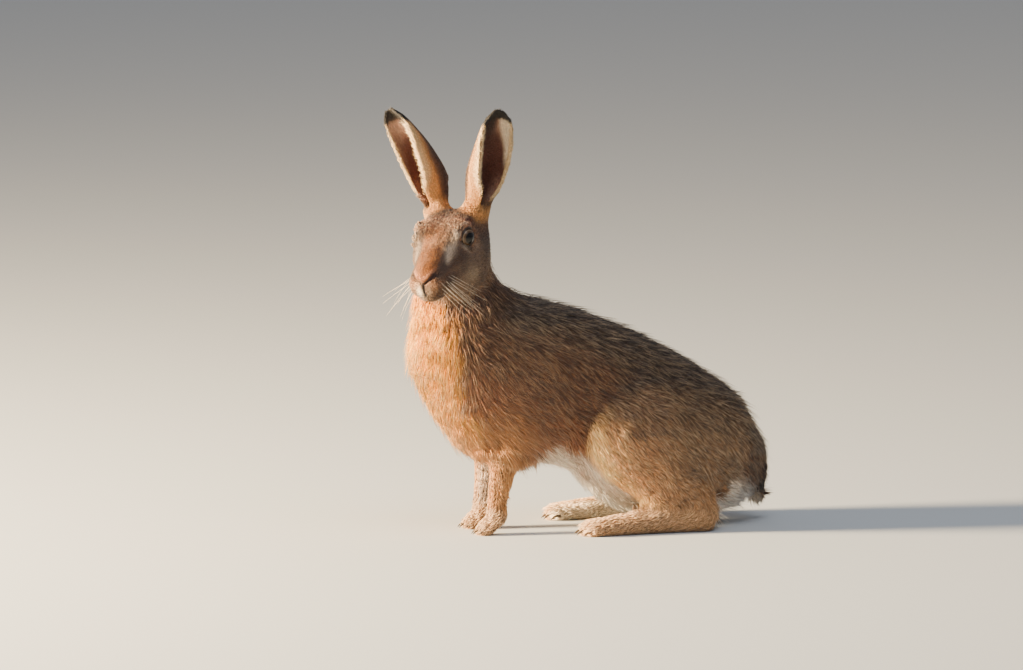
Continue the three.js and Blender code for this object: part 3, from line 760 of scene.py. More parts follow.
def face_depth(spots):
    """The coat's depth on the head as a share of its usual depth there."""
    reach = eye_place(spots)[0]
    x, _, z = spots.T
    thin = 0.4 + 0.6 * ramp(-x, 20, 60)
    cheek = 1 + 0.9 * ramp(-x, 50, 80) * ramp(-z, 4, 18)
    return thin * cheek * (0.35 + 0.65 * ramp(reach, 13, 22))


def face_length(spots):
    """The length of the tufts on the head as a share of their usual length there."""
    reach = eye_place(spots)[0]
    back = 0.36 + 0.3 * ramp(-spots[:, 0], 4, 30) + 0.54 * ramp(-spots[:, 0], 80, 112)
    back = back * (1 - 0.3 * near_ear(EarPlace(spots)))
    return back * (0.5 + 0.5 * ramp(reach, 13, 20))


def share_of(pelt, *names):
    return sum(pelt.part[:, PARTS.index(name)] for name in names)


class Pelt:
    """What each corner of the skin says about the coat on it."""

    def __init__(self, skin):
        count = len(skin.places)
        part = np.zeros((count, len(PARTS)))
        part[np.arange(count), [part_of(FLESH[i]) for i in skin.node]] = 1
        self.part = skin.web.spread(part, 12)
        self.sink(skin)
        shape_face(skin)
        self.normals = skin.normals()
        self.spots = to_head(skin.places)
        self.ear = EarPlace(self.spots)
        lie = skin.web.spread(lie_of(skin.places, self.spots, self.ear, self.part), 40)
        self.lie = unit(lie - self.normals * dots(lie, self.normals)[:, None])
        marks = Markings(count, "flank")
        paint_body(marks, skin.places, self.normals, self.part)
        paint_head(marks, self.spots, share_of(self, "head"))
        paint_ears(marks, self.ear, self.ear.inner(self.normals @ HEAD_AXES.T), self.part)
        self.paint = marks.paint
        self.bare = bare_share(self.spots)

    def sink(self, skin):
        """Sizes the coat, and draws the skin in by the coat's depth."""
        spots = to_head(skin.places)
        head = share_of(self, "head")
        depth, length, self.width = (self.part @ np.array(list(COAT.values()))).T
        depth = depth * (1 - head + head * face_depth(spots))
        self.length = length * (1 - head + head * face_length(spots))
        self.depth = skin.web.spread(depth[:, None], 30)[:, 0]
        skin.places = skin.places - skin.normals() * (self.depth + SWELL / MM)[:, None] * MM
        skin.places[:, 2] = np.maximum(skin.places[:, 2], SKIN_CLEARANCE)


def shape_face(skin):
    """Opens the lids, presses in nostrils, cleft, mouth and folds, and raises wings, pads and brows."""
    spots = to_head(skin.places)
    side = sides(spots)
    left = open_lids(mirrored(spots, side))
    x, y, z = left.T
    front = ramp(x, -17, -9)
    along, above = nostril_place(left)
    slit = hump(above, -0.3, 1.3 + 0.9 * ramp(along, 3, 11)) * ramp(along, -1.5, 1.5)
    slit = slit * ramp(along, 15, 11.5) * front * np.where(side > 0, 1, 0.6)
    fold = stroke(left, CROWN_LINE, [2, 2, 2, 2])
    fold = fold - 0.6 * stroke(left + [-3.6, 0, 0.5], CROWN_LINE, [2, 2, 2, 2])
    brow_line = [[-50, 24, 22], [-56, 25.5, 29], [-66, 26.5, 32], [-75, 28, 28]]
    # How deep each is pressed in, in millimetres, or raised where that is below 0
    depths = {
        "beside the bridge": 1.3 * stroke(spots, BRIDGE_LINE, [4.5, 5, 5, 5]),
        "right brow": -6.5 * (stroke(left, FAR_BROW_LINE, [3.2, 3.8, 4.2, 3.6]) * (side < 0)),
        "slit": 3.0 * slit,
        "wing": -1.0 * (hump(above, 3.4, 2.0) * hump(along, 8, 5.5) * front),
        "cleft": 1.6 * (hump(y, 0, 1.2) * ramp(z, 1, -2) * ramp(z, -18, -13) * ramp(x, -18, -10)),
        "mouth": 1.5 * (hump(z, -17 + 0.16 * x, 1.2) * ramp(x, -36, -28) * ramp(x, 4, -3)),
        "pad": -1.0 * (hump(x, -13, 9) * hump(y, 12, 6) * hump(z, -8, 6)),
        "crown folds": 1.9 * fold,
        "brow": -2.3 * stroke(left, brow_line, [3, 3, 3, 2.5]),
    }
    head_normals = mirrored(skin.normals() @ HEAD_AXES.T, side)
    left = left - head_normals * sum(depths.values())[:, None]
    skin.places = from_head(mirrored(left, side))


def open_lids(left):
    """Draws the lids close round the eye, and tucks what lies between them into it."""
    reach, aside, round_eye = eye_place(left)
    gap = aside - lid_edge(round_eye)
    # Beyond their edge the lids lie between low and high over the eye's middle; within it, inside it
    low = EYE_RADIUS + 0.75 + 0.5 * ramp(gap, 2, 12)
    high = EYE_RADIUS + 1.2 + 5.0 * ramp(gap, 0, 45)
    wanted = np.where(gap < 0, np.minimum(reach, EYE_RADIUS - 1.3), np.clip(reach, low, high))
    wanted = np.where((reach < 17) & (aside < 112), wanted, reach)
    return EYE_AT + (left - EYE_AT) * (wanted / reach)[:, None]


def bare_share(spots):
    """1 where no tufts grow: on the edges of the lids and in the slits of the nostrils."""
    reach, aside, round_eye = eye_place(spots)
    lids = ramp(reach, 15, 13) * ramp(aside - lid_edge(round_eye), 6, 4)
    along, above = nostril_place(mirrored(spots, sides(spots)))
    slit = ramp(np.abs(above + 0.3), 2.6, 1.8) * ramp(along, -2, 0) * ramp(along, 15, 13)
    slit = slit * ramp(spots[:, 0], -16, -11) * ramp(spots[:, 1], -3, 2)
    return np.maximum(lids, slit)


# Tufts

# How far the roots sink into the skin, and how big each tuft's patch of the unwrap is
SINK = 0.6 * MM
PATCH = 0.003

# How depth, length and width vary from tuft to tuft, as shares of the usual measure
DEPTH_SPREAD = (0.55, 1.1)
LENGTH_SPREAD = (0.7, 1.25)
WIDTH_SPREAD = (0.7, 1.2)

# The shape of a tuft: how far along it is thickest, what share of its depth it has risen there and
# at the tip, how much of the pull into a lock it follows there, and its height there over its width
THICKEST_AT = 0.4
THICKEST_RISE = 0.72
TIP_RISE = 0.95
THICKEST_PULL = 0.3
THICKEST_HEIGHT = 0.3

# How far the tips draw together into locks, and how far apart in millimetres the locks stand
LOCKS = {
    "body_fur": (0.35, 9),
    "neck_fur": (0.35, 9),
    "leg_fur": (0.3, 8),
    "tail_fur": (0.3, 8),
    "foot_fur": (0.15, 5),
    "face_fur": (0.1, 4),
    "ear_fur": (0.05, 4),
    "ear_fringe": (0.55, 2.6),
}


class Tufts:
    """Pointed tufts rooted over part of the skin, each a thin closed spindle."""

    def __init__(self, skin, pelt, wanted, count, seed, pull, spacing):
        rng = np.random.default_rng(seed)
        corners = skin.corners
        a, b, c = (skin.places[corners[:, i]] for i in range(3))
        area = np.linalg.norm(np.cross(b - a, c - a), axis=1) / 2
        total = np.cumsum(area * (wanted * (1 - pelt.bare))[corners].mean(axis=1))
        picks = (np.arange(count) + rng.random(count)) / count * total[-1]
        chosen = corners[np.searchsorted(total, picks).clip(0, len(corners) - 1)]
        weights = rng.dirichlet((1, 1, 1), count)

        def at(values):
            return np.einsum("nk,nk...->n...", weights, values[chosen])

        self.count = count
        self.rng = rng
        self.root = at(skin.places)
        self.normal = unit(at(pelt.normals))
        self.paint = at(pelt.paint)
        self.depth = at(pelt.depth) * MM * rng.uniform(*DEPTH_SPREAD, count)
        self.length = at(pelt.length) * MM * rng.uniform(*LENGTH_SPREAD, count)
        self.width = at(pelt.width) * MM * rng.uniform(*WIDTH_SPREAD, count)
        self.comb(at(pelt.lie))
        self.gather(pull, spacing)

    def comb(self, lie):
        """Lays each tuft along the skin, a little astray of its neighbours."""
        lie = unit(lie - self.normal * dots(lie, self.normal)[:, None])
        side = np.cross(self.normal, lie)
        stray = 0.22 * ripple(self.root, 0.03, 11) + self.rng.normal(0, 0.13, self.count)
        self.lie = unit(lie * np.cos(stray)[:, None] + side * np.sin(stray)[:, None])
        self.side = np.cross(self.normal, self.lie)

    def gather(self, pull, spacing):
        """Draws the tips together into locks."""
        leaders = self.rng.permutation(self.count)[:max(8, int(self.surface() / spacing ** 2))]
        tree = tree_of_points(self.root[leaders])
        nearest = np.array([tree.find(place)[1] for place in self.root])
        shift = self.root[leaders[nearest]] - self.root
        shift -= self.normal * dots(shift, self.normal)[:, None]
        self.shift = shift * pull

    def surface(self):
        """About how much skin the roots cover, from how far apart they stand."""
        tree = tree_of_points(self.root)
        sample = self.root[:: max(1, self.count // 400)]
        reach = np.array([tree.find_n(place, 12)[-1][2] for place in sample])
        return self.count / 12 * math.pi * np.mean(reach ** 2)

    def places(self):
        """Root, three corners round the thickest part, and tip."""
        rise = self.normal * self.depth[:, None]
        run = self.lie * self.length[:, None]
        root = self.root - self.normal * SINK
        middle = self.root + run * THICKEST_AT + rise * THICKEST_RISE + self.shift * THICKEST_PULL
        tip = self.root + run + rise * TIP_RISE + self.shift
        across = self.side * self.width[:, None] / 2
        up = self.normal * self.width[:, None] * THICKEST_HEIGHT
        found = np.stack([root, middle + across - up, middle - across - up, middle + up, tip], axis=1)
        found[:, :, 2] = np.maximum(found[:, :, 2], TUFT_CLEARANCE)
        return found

    def tones(self):
        """The colours of root, middle and tip."""
        draw = self.rng.random(self.count)
        middle, pale, dark = self.paint[:, 0:3], self.paint[:, 3:6], self.paint[:, 6:9]
        pale_share, dark_share = self.paint[:, 9], self.paint[:, 10]
        is_pale = (draw < pale_share)[:, None]
        is_dark = (draw > 1 - dark_share)[:, None]
        shade = (1 + 0.16 * self.rng.normal(size=self.count)).clip(0.6, 1.5)[:, None]
        tip = np.where(is_pale, pale, np.where(is_dark, dark, middle))
        heart = np.where(is_dark, 0.5 * middle + 0.5 * dark, middle) * shade
        # The root is a third as bright as the middle: partly the dark base of each hair, partly painted
        # shade deep in the coat
        return middle * 0.35, heart, tip * shade

    def build(self, name, slot, unwrap):
        steps = np.arange(self.count)[:, None, None] * 5
        faces = np.array([[0, 2, 1], [0, 3, 2], [0, 1, 3], [4, 1, 2], [4, 2, 3], [4, 3, 1]])
        mesh = make_mesh(name, self.places().reshape(-1, 3), (steps + faces).reshape(-1, 3))
        root, middle, tip = self.tones()
        colours = np.ones((self.count, 5, 4))
        colours[:, 0, :3] = root
        colours[:, 1:4, :3] = middle[:, None]
        colours[:, 4, :3] = tip
        add_layer(mesh, "pelt", "FLOAT_COLOR", colours.clip(0, 1))
        patch = np.array([[0, 0.5], [0.45, 0], [0.45, 1], [0.45, 0.5], [1, 0.5]]) * PATCH
        spots = (unwrap(self.root)[:, None] * (1 - PATCH) + patch)[:, faces]
        mesh.uv_layers.new(name="OFBake").uv.foreach_set("vector", spots.astype(np.float32).ravel())
        add_piece(name, slot, mesh, fur(slot))


def rolled(centre, axis):
    """An unwrap round a line: how far round it, and how far along."""
    axis = unit(np.array(axis, float))
    first = unit(np.cross(axis, [0.3, 0.9, 0.1]))
    second = np.cross(axis, first)

    def unwrap(places):
        spot = places - centre
        along = spot @ axis
        around = np.arctan2(spot @ second, spot @ first) / (2 * math.pi) + 0.5
        return np.stack([around, (along - along.min()) / max(np.ptp(along), 1e-9)], axis=1)

    return unwrap


# Materials

class Nodes:
    """The nodes of a material or a node group, and short ways to add to them."""

    def __init__(self, tree):
        self.nodes = tree.nodes
        self.links = tree.links

    def add(self, kind, **inputs):
        """A node with each input linked to an output, or set to a value."""
        node = self.nodes.new(kind)
        for key, value in inputs.items():
            socket = node.inputs[int(key[1:]) if key[0] == "_" else key.replace("_", " ")]
            if isinstance(value, bpy.types.NodeSocket):
                self.links.new(value, socket)
            else:
                socket.default_value = value
        return node

    def attribute(self, name):
        node = self.add("ShaderNodeAttribute")
        node.attribute_name = name
        return node.outputs

    def noise(self, place, scale, detail):
        return self.add("ShaderNodeTexNoise", Vector=place, Scale=scale, Detail=detail).outputs["Fac"]

    def own_noise(self, scale, detail):
        """Noise over the object's own places."""
        return self.noise(self.add("ShaderNodeTexCoord").outputs["Object"], scale, detail)

    def combine(self, operation, a, b):
        node = self.add("ShaderNodeMath", _0=a, _1=b)
        node.operation = operation
        return node.outputs[0]

    def remap(self, value, low, high):
        return self.add("ShaderNodeMapRange", Value=value, To_Min=low, To_Max=high).outputs["Result"]

    def shade(self, colour, value):
        return self.add("ShaderNodeHueSaturation", Color=colour, Value=value).outputs["Color"]


class Shader(Nodes):
    """A new material with its Principled BSDF."""

    def __init__(self, name):
        self.material = bpy.data.materials.new(name)
        self.material.use_nodes = True
        super().__init__(self.material.node_tree)
        self.surface = self.nodes["Principled BSDF"]

    def set(self, **values):
        for key, value in values.items():
            self.surface.inputs[key.replace("_", " ")].default_value = value

    def feed(self, **outputs):
        for key, output in outputs.items():
            self.links.new(output, self.surface.inputs[key.replace("_", " ")])


def hair_grain():
    """Hairs too fine to model: streaks that vary the colour, the gloss and the height."""
    group = bpy.data.node_groups.new("hair grain", "ShaderNodeTree")
    for name, kind, start in (
        ("Colour", "NodeSocketColor", (0.5, 0.4, 0.3, 1)),
        ("Hair Width", "NodeSocketFloat", 0.4),
        ("Contrast", "NodeSocketFloat", 0.3),
        ("Relief", "NodeSocketFloat", 0.3),
    ):
        group.interface.new_socket(name, in_out="INPUT", socket_type=kind).default_value = start
    for name, kind in (
        ("Colour", "NodeSocketColor"),
        ("Roughness", "NodeSocketFloat"),
        ("Normal", "NodeSocketVector"),
    ):
        group.interface.new_socket(name, in_out="OUTPUT", socket_type=kind)
    made = Nodes(group)
    given = made.nodes.new("NodeGroupInput").outputs
    shown = made.nodes.new("NodeGroupOutput").inputs
    place = made.add("ShaderNodeTexCoord").outputs["Object"]
    grain = made.noise(place, made.combine("DIVIDE", 1000.0, given["Hair Width"]), 3.0)
    swing = made.combine("ADD", made.combine("ADD", grain, made.noise(place, 60.0, 2.0)), -1.0)
    value = made.combine("ADD", made.combine("MULTIPLY", swing, given["Contrast"]), 1.0)
    bump = made.add("ShaderNodeBump", Height=grain, Strength=given["Relief"], Distance=0.0004)
    made.links.new(made.shade(given["Colour"], value), shown["Colour"])
    made.links.new(made.remap(grain, 0.5, 0.78), shown["Roughness"])
    made.links.new(bump.outputs["Normal"], shown["Normal"])
    return group


HAIR_GRAIN = hair_grain()

# For each kind of fur: the width of its finest hairs in millimetres, their contrast and their relief
FUR_GRAIN = {
    "body_fur": (0.5, 0.45, 0.25),
    "neck_fur": (0.5, 0.4, 0.25),
    "leg_fur": (0.45, 0.4, 0.25),
    "foot_fur": (0.4, 0.35, 0.3),
    "tail_fur": (0.5, 0.4, 0.25),
    "face_fur": (0.35, 0.4, 0.3),
    "ear_fur": (0.3, 0.35, 0.3),
    "skin": (0.35, 0.6, 0.8),
}
FURS = {}


def fur(slot):
    """The material of a slot, made once."""
    if slot not in FURS:
        made = Shader(slot)
        grain = made.nodes.new("ShaderNodeGroup")
        grain.node_tree = HAIR_GRAIN
        made.links.new(made.attribute("pelt")["Color"], grain.inputs["Colour"])
        for socket, value in zip(("Hair Width", "Contrast", "Relief"), FUR_GRAIN[slot]):
            grain.inputs[socket].default_value = value
        shown = grain.outputs
        made.feed(Base_Color=shown["Colour"], Roughness=shown["Roughness"], Normal=shown["Normal"])
        made.set(Specular_IOR_Level=0.35, Sheen_Weight=0.15, Sheen_Roughness=0.5)
        FURS[slot] = made.material
    return FURS[slot]


def add_skin(skin, pelt):
    mesh = make_mesh("skin", skin.places, skin.corners)
    colours = np.ones((len(skin.places), 4))
    # Painted shade: the skin under the tufts is painted at six tenths of the coat's colour; bare lids and
    # slits keep their full colour
    colours[:, :3] = pelt.paint[:, :3] * (0.6 + 0.4 * pelt.bare)[:, None]
    add_layer(mesh, "pelt", "FLOAT_COLOR", colours)
    mesh = modified(mesh, "DECIMATE", ratio=SKIN_TRIANGLES / len(skin.corners))
    mesh.name = "skin"
    add_piece("skin", "skin", mesh, fur("skin"), *FLESH)


def changed(pelt, **fields):
    """The same coat with other lengths, ways or paint."""
    other = copy.copy(pelt)
    for name, values in fields.items():
        setattr(other, name, values)
    return other


def ear_fringe(pelt):
    """Long white hairs along the rims of the ears, that lean over the opening, and where they grow."""
    ear = pelt.ear
    count = len(pelt.spots)
    front = ear.round > 0
    across = np.where(front[:, None], -ear.ahead, -0.1 * ear.ahead)
    lie = mirrored(0.9 * ear.up + across + 0.2 * ear.out, ear.side) @ HEAD_AXES
    rim = ramp(np.where(front, ear.to_front, ear.to_rear), 7, 2) * share_of(pelt, "ear")
    rim = rim * ramp(ear.along, 0.14, 0.3) * ramp(ear.along, 0.88, 0.8) * np.where(front, 1, 0.4)
    length, width, depth = np.where(front, 5.8, 2.2), np.full(count, 0.34), np.full(count, 1.0)
    paint = np.tile(TONES["ear rim"], (count, 1))
    return changed(pelt, lie=lie, length=length, width=width, depth=depth, paint=paint), rim


def guard_hairs(pelt):
    """Sparse long hairs that stand out of the coat, with pale tips."""
    width = np.full(len(pelt.spots), 0.55)
    paint = pelt.paint.copy()
    paint[:, 9] = 0.6
    paint[:, 3:6] = paint[:, 3:6] * 0.7 + light(236, 216, 190) * 0.3
    length, depth = pelt.length * 1.35, pelt.depth * 1.5 + 0.5
    return changed(pelt, length=length, depth=depth, width=width, paint=paint)


FIRST_SEED = 100


def add_coat(skin, pelt):
    x = skin.places[:, 0] / MM
    trunk = share_of(pelt, "trunk")
    head = share_of(pelt, "head")
    body = trunk + share_of(pelt, "neck", "thigh", "shank")
    face = ramp(pelt.spots[:, 0], -72, -66)
    forward, _, upward = HEAD_AXES
    along, upright = (1, 0, 0), (0, 0, 1)
    pieces = (
        ("coat_neck", "neck_fur", pelt, share_of(pelt, "neck") + trunk * (x < -125), 28000, upright),
        ("coat_shoulders", "body_fur", pelt, trunk * (x >= -125) * (x < -50), 28000, along),
        ("coat_back", "body_fur", pelt, trunk * (x >= -50) * (x < 60), 26000, along),
        ("coat_rump", "body_fur", pelt, trunk * (x >= 60), 24000, along),
        ("coat_thighs", "leg_fur", pelt, share_of(pelt, "thigh", "shank"), 26000, along),
        ("coat_forelegs", "leg_fur", pelt, share_of(pelt, "foreleg"), 8000, upright),
        ("coat_feet", "foot_fur", pelt, share_of(pelt, "hind_foot", "forepaw"), 12000, along),
        ("coat_tail", "tail_fur", pelt, share_of(pelt, "tail"), 3500, upright),
        ("coat_face", "face_fur", pelt, head * face, 33000, forward),
        ("coat_head", "face_fur", pelt, head * (1 - face), 21000, forward),
        ("coat_ears", "ear_fur", pelt, share_of(pelt, "ear"), 24000, upward),
        ("ear_fringe", "ear_fur", *ear_fringe(pelt), 3000, upward),
        ("guard_hairs", "body_fur", guard_hairs(pelt), body, 11000, along),
    )
    for seed, (name, slot, coat, wanted, count, axis) in enumerate(pieces, FIRST_SEED):
        middle = (skin.places * wanted[:, None]).sum(axis=0) / wanted.sum()
        pull, spacing = LOCKS.get(name, LOCKS[slot])
        tufts = Tufts(skin, coat, wanted, count, seed, pull, spacing * MM)
        tufts.build(name, slot, rolled(middle, axis))


# Eyes

# How far the pupil and the iris reach from where the eye looks, in degrees
PUPIL = 33
IRIS = 52
GAZE = unit(np.array([0.38, 0.925, 0.0]))

# How far the eyeball stays inside its CAD node, how far the clear front stands out of it, in
# millimetres, and over how many degrees
EYE_INSET = 0.15
CORNEA_RISE = 0.45
CORNEA_WIDTH = 34
EYE_RINGS = 40
EYE_TURNS = 64

# The edge of the lids, in millimetres: how far it stands out from the eye, and its half thickness
LID_LIFT = 0.35
LID_RADIUS = 0.85


def grid_corners(rows, columns):
    """Triangles between the rings of a grid of places, joined round each ring."""
    a = np.arange(columns)
    b = (a + 1) % columns
    steps = np.arange(rows - 1)[:, None] * columns
    first = np.stack([steps + a, steps + columns + a, steps + columns + b], axis=-1)
    second = np.stack([steps + a, steps + columns + b, steps + b], axis=-1)
    return np.concatenate([first.reshape(-1, 3), second.reshape(-1, 3)])


def capped(rows, columns):
    """The same with both ends closed onto a last place of their own."""
    count = rows * columns
    a = np.arange(columns)
    b = (a + 1) % columns
    start = np.stack([np.full(columns, count), a, b], axis=1)
    end = np.stack([np.full(columns, count + 1), count - columns + b, count - columns + a], axis=1)
    return np.concatenate([grid_corners(rows, columns), start, end])


def finish_piece(name, slot, places, corners, material, *replaced):
    """A closed piece, with its faces turned outward."""
    a, b, c = (places[corners[:, i]] for i in range(3))
    if dots(np.cross(a, b), c).sum() < 0:
        corners = corners[:, ::-1]
    return add_piece(name, slot, make_mesh(name, places, corners), material, *replaced)


def eye_material():
    """A black pupil, a ring of brown fibres, a dark edge, and a wet surface over them."""
    made = Shader("wet eye")
    wave = made.remap(made.noise(made.attribute("iris_place")["Vector"], 9.0, 4.0), -0.02, 0.02)
    angle = made.combine("ADD", made.attribute("from_gaze")["Fac"], wave)
    bands = made.add("ShaderNodeValToRGB", Fac=angle)
    stops = (
        (0.0, (0.002, 0.002, 0.003)),
        ((PUPIL - 1) / 90, (0.003, 0.003, 0.004)),
        ((PUPIL + 1.5) / 90, (0.045, 0.026, 0.015)),
        ((IRIS - 6) / 90, (0.11, 0.066, 0.038)),
        ((IRIS - 2) / 90, (0.24, 0.17, 0.115)),
        ((IRIS + 1.5) / 90, (0.022, 0.013, 0.009)),
        (1.0, (0.012, 0.008, 0.006)),
    )
    ramp_points = bands.color_ramp.elements
    while len(ramp_points) < len(stops):
        ramp_points.new(0.5)
    for point, (at, colour) in zip(ramp_points, stops):
        point.position = at
        point.color = (*colour, 1)
    made.feed(Base_Color=bands.outputs["Color"])
    made.set(Roughness=0.25, Specular_IOR_Level=0.2, Coat_Weight=0.4, Coat_Roughness=0.03, Coat_IOR=1.34)
    return made.material


def add_eyes():
    material = eye_material()
    first = unit(np.array([1, 0, 0]) - GAZE * GAZE[0])
    second = np.cross(GAZE, first)
    polar = np.radians(np.linspace(0, 180, EYE_RINGS + 2)[1:-1])[:, None, None]
    turn = np.radians(np.arange(EYE_TURNS) * 360 / EYE_TURNS)[None, :, None]
    way = GAZE * np.cos(polar) + (first * np.cos(turn) + second * np.sin(turn)) * np.sin(polar)
    way = np.concatenate([way.reshape(-1, 3), [GAZE, -GAZE]])
    angle = np.degrees(np.arccos(np.clip(way @ GAZE, -1, 1)))
    bulge = EYE_RADIUS - EYE_INSET + CORNEA_RISE * np.exp(-(angle / CORNEA_WIDTH) ** 2)
    flat = np.stack([way @ first, way @ second, np.zeros(len(way))], axis=1)
    corners = capped(EYE_RINGS, EYE_TURNS)
    for name, side in (("eye_left", 1), ("eye_right", -1)):
        places = from_head((EYE_AT + way * bulge[:, None]) * [1, side, 1])
        ob = finish_piece(f"{name}_ball", "eye", places, corners, material, name)
        add_layer(ob.data, "from_gaze", "FLOAT", (angle / 90).clip(0, 1))
        add_layer(ob.data, "iris_place", "FLOAT_VECTOR", unit(flat))


def tube(path, radii, sides, closed=False):
    """Places and triangles of a round tube along a path."""
    if closed:
        way = unit(np.roll(path, -1, axis=0) - np.roll(path, 1, axis=0))
    else:
        way = unit(np.gradient(path, axis=0))
    first = unit(np.cross(way, [0.31, 0.17, 0.94]))
    second = np.cross(way, first)
    turn = (np.arange(sides) * 2 * math.pi / sides)[None, :, None]
    ring = first[:, None] * np.cos(turn) + second[:, None] * np.sin(turn)
    places = (path[:, None] + ring * np.reshape(radii, (-1, 1, 1))).reshape(-1, 3)
    if closed:
        return places, grid_corners(len(path) + 1, sides) % len(places)
    return np.concatenate([places, [path[0], path[-1]]]), capped(len(path), sides)


def bare_skin():
    made = Shader("bare skin")
    pores = made.own_noise(1500.0, 3.0)
    bump = made.add("ShaderNodeBump", Height=pores, Strength=0.3, Distance=0.0003)
    colour = made.shade((0.03, 0.017, 0.012, 1), made.remap(pores, 0.7, 1.3))
    made.feed(Base_Color=colour, Normal=bump.outputs["Normal"])
    made.set(Roughness=0.38, Specular_IOR_Level=0.5)
    return made.material


def add_lids():
    """The wet dark edge of the lids."""
    material = bare_skin()
    round_eye = np.arange(-180, 180, 4.0)
    turn, open_by = np.radians(round_eye), np.radians(lid_edge(round_eye) - 1.0)
    ahead, above = np.sin(open_by) * np.cos(turn), np.sin(open_by) * np.sin(turn)
    way = np.outer(np.cos(open_by), EYE_FACING)
    way += np.outer(ahead, EYE_FORWARD) + np.outer(above, EYE_ABOVE)
    for name, side in (("lid_left", 1), ("lid_right", -1)):
        path = (EYE_AT + way * (EYE_RADIUS + LID_LIFT)) * [1, side, 1]
        places, corners = tube(path, np.full(len(path), LID_RADIUS), 8, closed=True)
        finish_piece(name, "nose", from_head(places), corners, material)


# Whiskers and claws

# The whiskers, in millimetres: where the first leaves the pad, the steps to the next column and row,
# how thick they are, and how long and how steep those of the left side, 1, and the right, -1, are
WHISKER_FIRST = np.array([-9.0, 13.5, -4.0])
WHISKER_COLUMN = np.array([-5.0, 1.2, 0])
WHISKER_ROW = np.array([0, 0, -4.2])
WHISKER_RADIUS = 0.13
WHISKER_LENGTHS = {1: (34, 48), -1: (42, 56)}
WHISKER_STEEPNESS = {1: 0.65, -1: 0.5}

# Each foot's claws: how far they start behind its front end, their length and their thickness, in
# millimetres; and where the four stand across it, from -1 to 1
CLAWS = {"forepaw": (3.5, 9.0, 1.15), "hind_foot": (4.0, 11.0, 1.35)}
CLAW_PLACES = (-0.54, -0.19, 0.19, 0.54)


def hair_material():
    made = Shader("stiff hair")
    colour = made.add("ShaderNodeMix", Factor=made.own_noise(120.0, 2.0))
    colour.data_type = "RGBA"
    colour.inputs[6].default_value = (*light(236, 226, 208), 1)
    colour.inputs[7].default_value = (*light(170, 150, 128), 1)
    made.feed(Base_Color=colour.outputs[2])
    made.set(Roughness=0.4, Specular_IOR_Level=0.5)
    return made.material


def add_whiskers(skin):
    """Long stiff hairs that leave the pads in rows, sweep out, back and down, and thin to a point."""
    rng = np.random.default_rng(21)
    tree = tree_of_faces(skin.places, skin.corners)
    t = np.linspace(0, 1, 12)[:, None]
    radii = WHISKER_RADIUS * (1 - t[:, 0]) ** 0.7 + 0.05
    hairs = []
    for side in (1, -1):
        for row in range(3):
            for column in range(4):
                spot = (WHISKER_FIRST + column * WHISKER_COLUMN + row * WHISKER_ROW) * [1, side, 1]
                spot += rng.uniform(-0.7, 0.7, 3)
                root = np.array(tree.find_nearest(from_head(spot))[0])
                way = np.array([-0.1 * column, side * 0.75, -WHISKER_STEEPNESS[side] - 0.2 * row])
                way = unit(way + rng.normal(0, 0.09, 3))
                droop = np.array([-0.5, -0.1 * side, -0.4 + rng.uniform(-0.25, 0.25)])
                long = rng.uniform(*WHISKER_LENGTHS[side])
                path = root + ((t * long - 1.5) * way + t ** 2 * long * 0.2 * droop) * MM @ HEAD_AXES
                hairs.append(tube(path, radii * MM, 5))
    finish_piece("whiskers", "whisker", *joined(hairs), hair_material())


def claw_material():
    made = Shader("claw horn")
    streaks = made.own_noise(700.0, 4.0)
    colour = made.add("ShaderNodeValToRGB", Fac=streaks)
    colour.color_ramp.elements[0].color = (0.02, 0.015, 0.012, 1)
    colour.color_ramp.elements[1].color = (0.13, 0.09, 0.06, 1)
    made.feed(Base_Color=colour.outputs["Color"], Roughness=made.remap(streaks, 0.25, 0.5))
    return made.material


def add_claws():
    """Four bent claws at the end of each foot."""
    material = claw_material()
    t = np.linspace(0, 1, 9)[:, None]
    for foot, (reach, long, thick) in CLAWS.items():
        radii = thick * (1 - t[:, 0] ** 2) ** 0.75 + 0.12
        for side in ("left", "right"):
            low, high = (np.array(corner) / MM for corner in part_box(f"{foot}_{side}"))
            claws = []
            for place in CLAW_PLACES:
                y = (low[1] + high[1]) / 2 + place * (high[1] - low[1]) / 2 * 1.25
                root = np.array([low[0] + reach + 20 * place ** 2, y, 4.6])
                path = root + t * long * np.array([-0.95, 0.12 * place, 0.0])
                path[:, 2] += (5.2 * t * (1 - t) - 3.6 * t ** 2)[:, 0]
                claws.append(tube(path * MM, radii * MM, 10))
            finish_piece(f"claws_{foot}_{side}", "claw", *joined(claws), material)


skin = Skin()
pelt = Pelt(skin)
add_skin(skin, pelt)
add_coat(skin, pelt)
add_eyes()
add_lids()
add_whiskers(skin)
add_claws()


# The view, light and floor

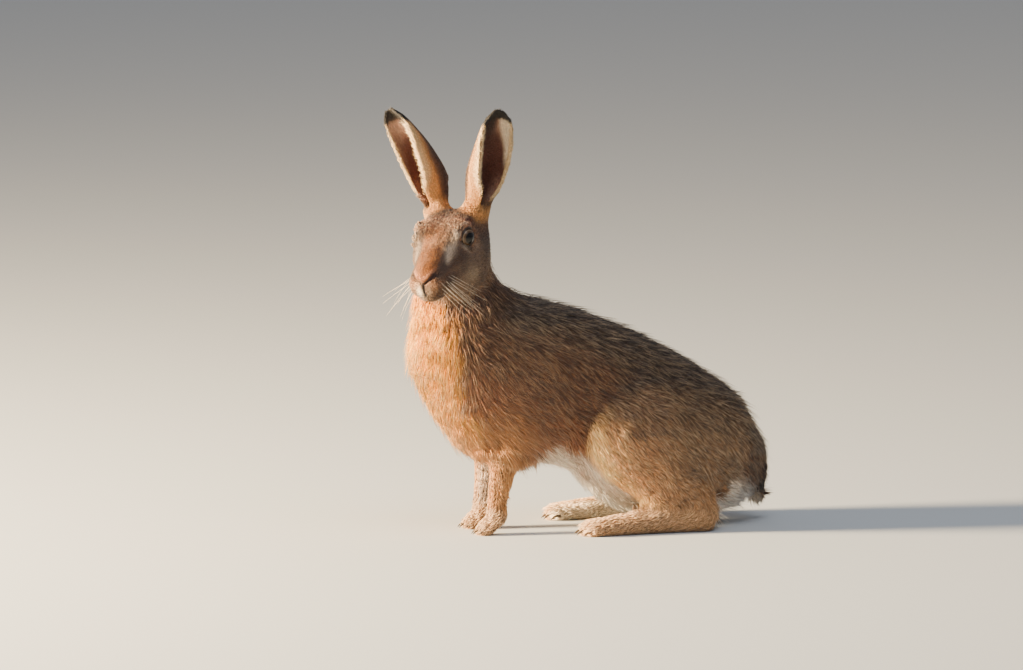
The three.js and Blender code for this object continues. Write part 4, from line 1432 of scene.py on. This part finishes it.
# Each lamp: its azimuth and elevation in degrees, its distance and width in metres, its power in
# watts and its colour
LAMPS = {
    "low sun": (-98, 11, 3.0, 0.6, 1000, (1.0, 0.76, 0.45)),
    "sky": (5, 60, 3.0, 2.0, 32, (0.9, 0.95, 1.0)),
}
FLOOR_REACH = 9.0


def aim(ob, azimuth, elevation, distance):
    """Sets a camera or a lamp at a distance from the model, turned towards it."""
    a, e = math.radians(azimuth), math.radians(elevation)
    away = Vector((math.sin(a) * math.cos(e), -math.cos(a) * math.cos(e), math.sin(e)))
    ob.location = AIM + away * distance
    ob.rotation_euler = away.to_track_quat("Z", "Y").to_euler()


def add_camera():
    data = bpy.data.cameras.new("camera")
    data.lens = VIEW_LENS
    data.sensor_width = SENSOR
    data.clip_end = 40
    camera = add_object("camera", data)
    aim(camera, VIEW_AZIMUTH, VIEW_ELEVATION, VIEW_DISTANCE)
    bpy.context.scene.camera = camera


def add_lamp(name, azimuth, elevation, distance, width, power, colour):
    data = bpy.data.lights.new(name, "AREA")
    data.shape = "DISK"
    data.size = width
    data.energy = power
    data.color = colour
    aim(add_object(name, data), azimuth, elevation, distance)


def floor_material():
    made = Shader("pale floor")
    tint = made.remap(made.own_noise(900.0, 2.0), 0.96, 1.04)
    made.feed(Base_Color=made.shade((0.64, 0.67, 0.7, 1), tint))
    made.set(Roughness=0.8)
    return made.material


def add_floor():
    places = np.array([[-1, -1, 0], [1, -1, 0], [1, 1, 0], [-1, 1, 0]]) * FLOOR_REACH
    mesh = make_mesh("floor", places, np.array([[0, 1, 2], [0, 2, 3]]), False)
    mesh.materials.append(floor_material())
    floor = add_object("floor", mesh)


def add_surroundings():
    world = bpy.data.worlds.new("surroundings")
    world.use_nodes = True
    background = world.node_tree.nodes["Background"]
    background.inputs["Color"].default_value = (0.78, 0.8, 0.84, 1)
    background.inputs["Strength"].default_value = 0.38
    bpy.context.scene.world = world


add_camera()
for lamp, settings in LAMPS.items():
    add_lamp(lamp, *settings)
add_floor()
add_surroundings()
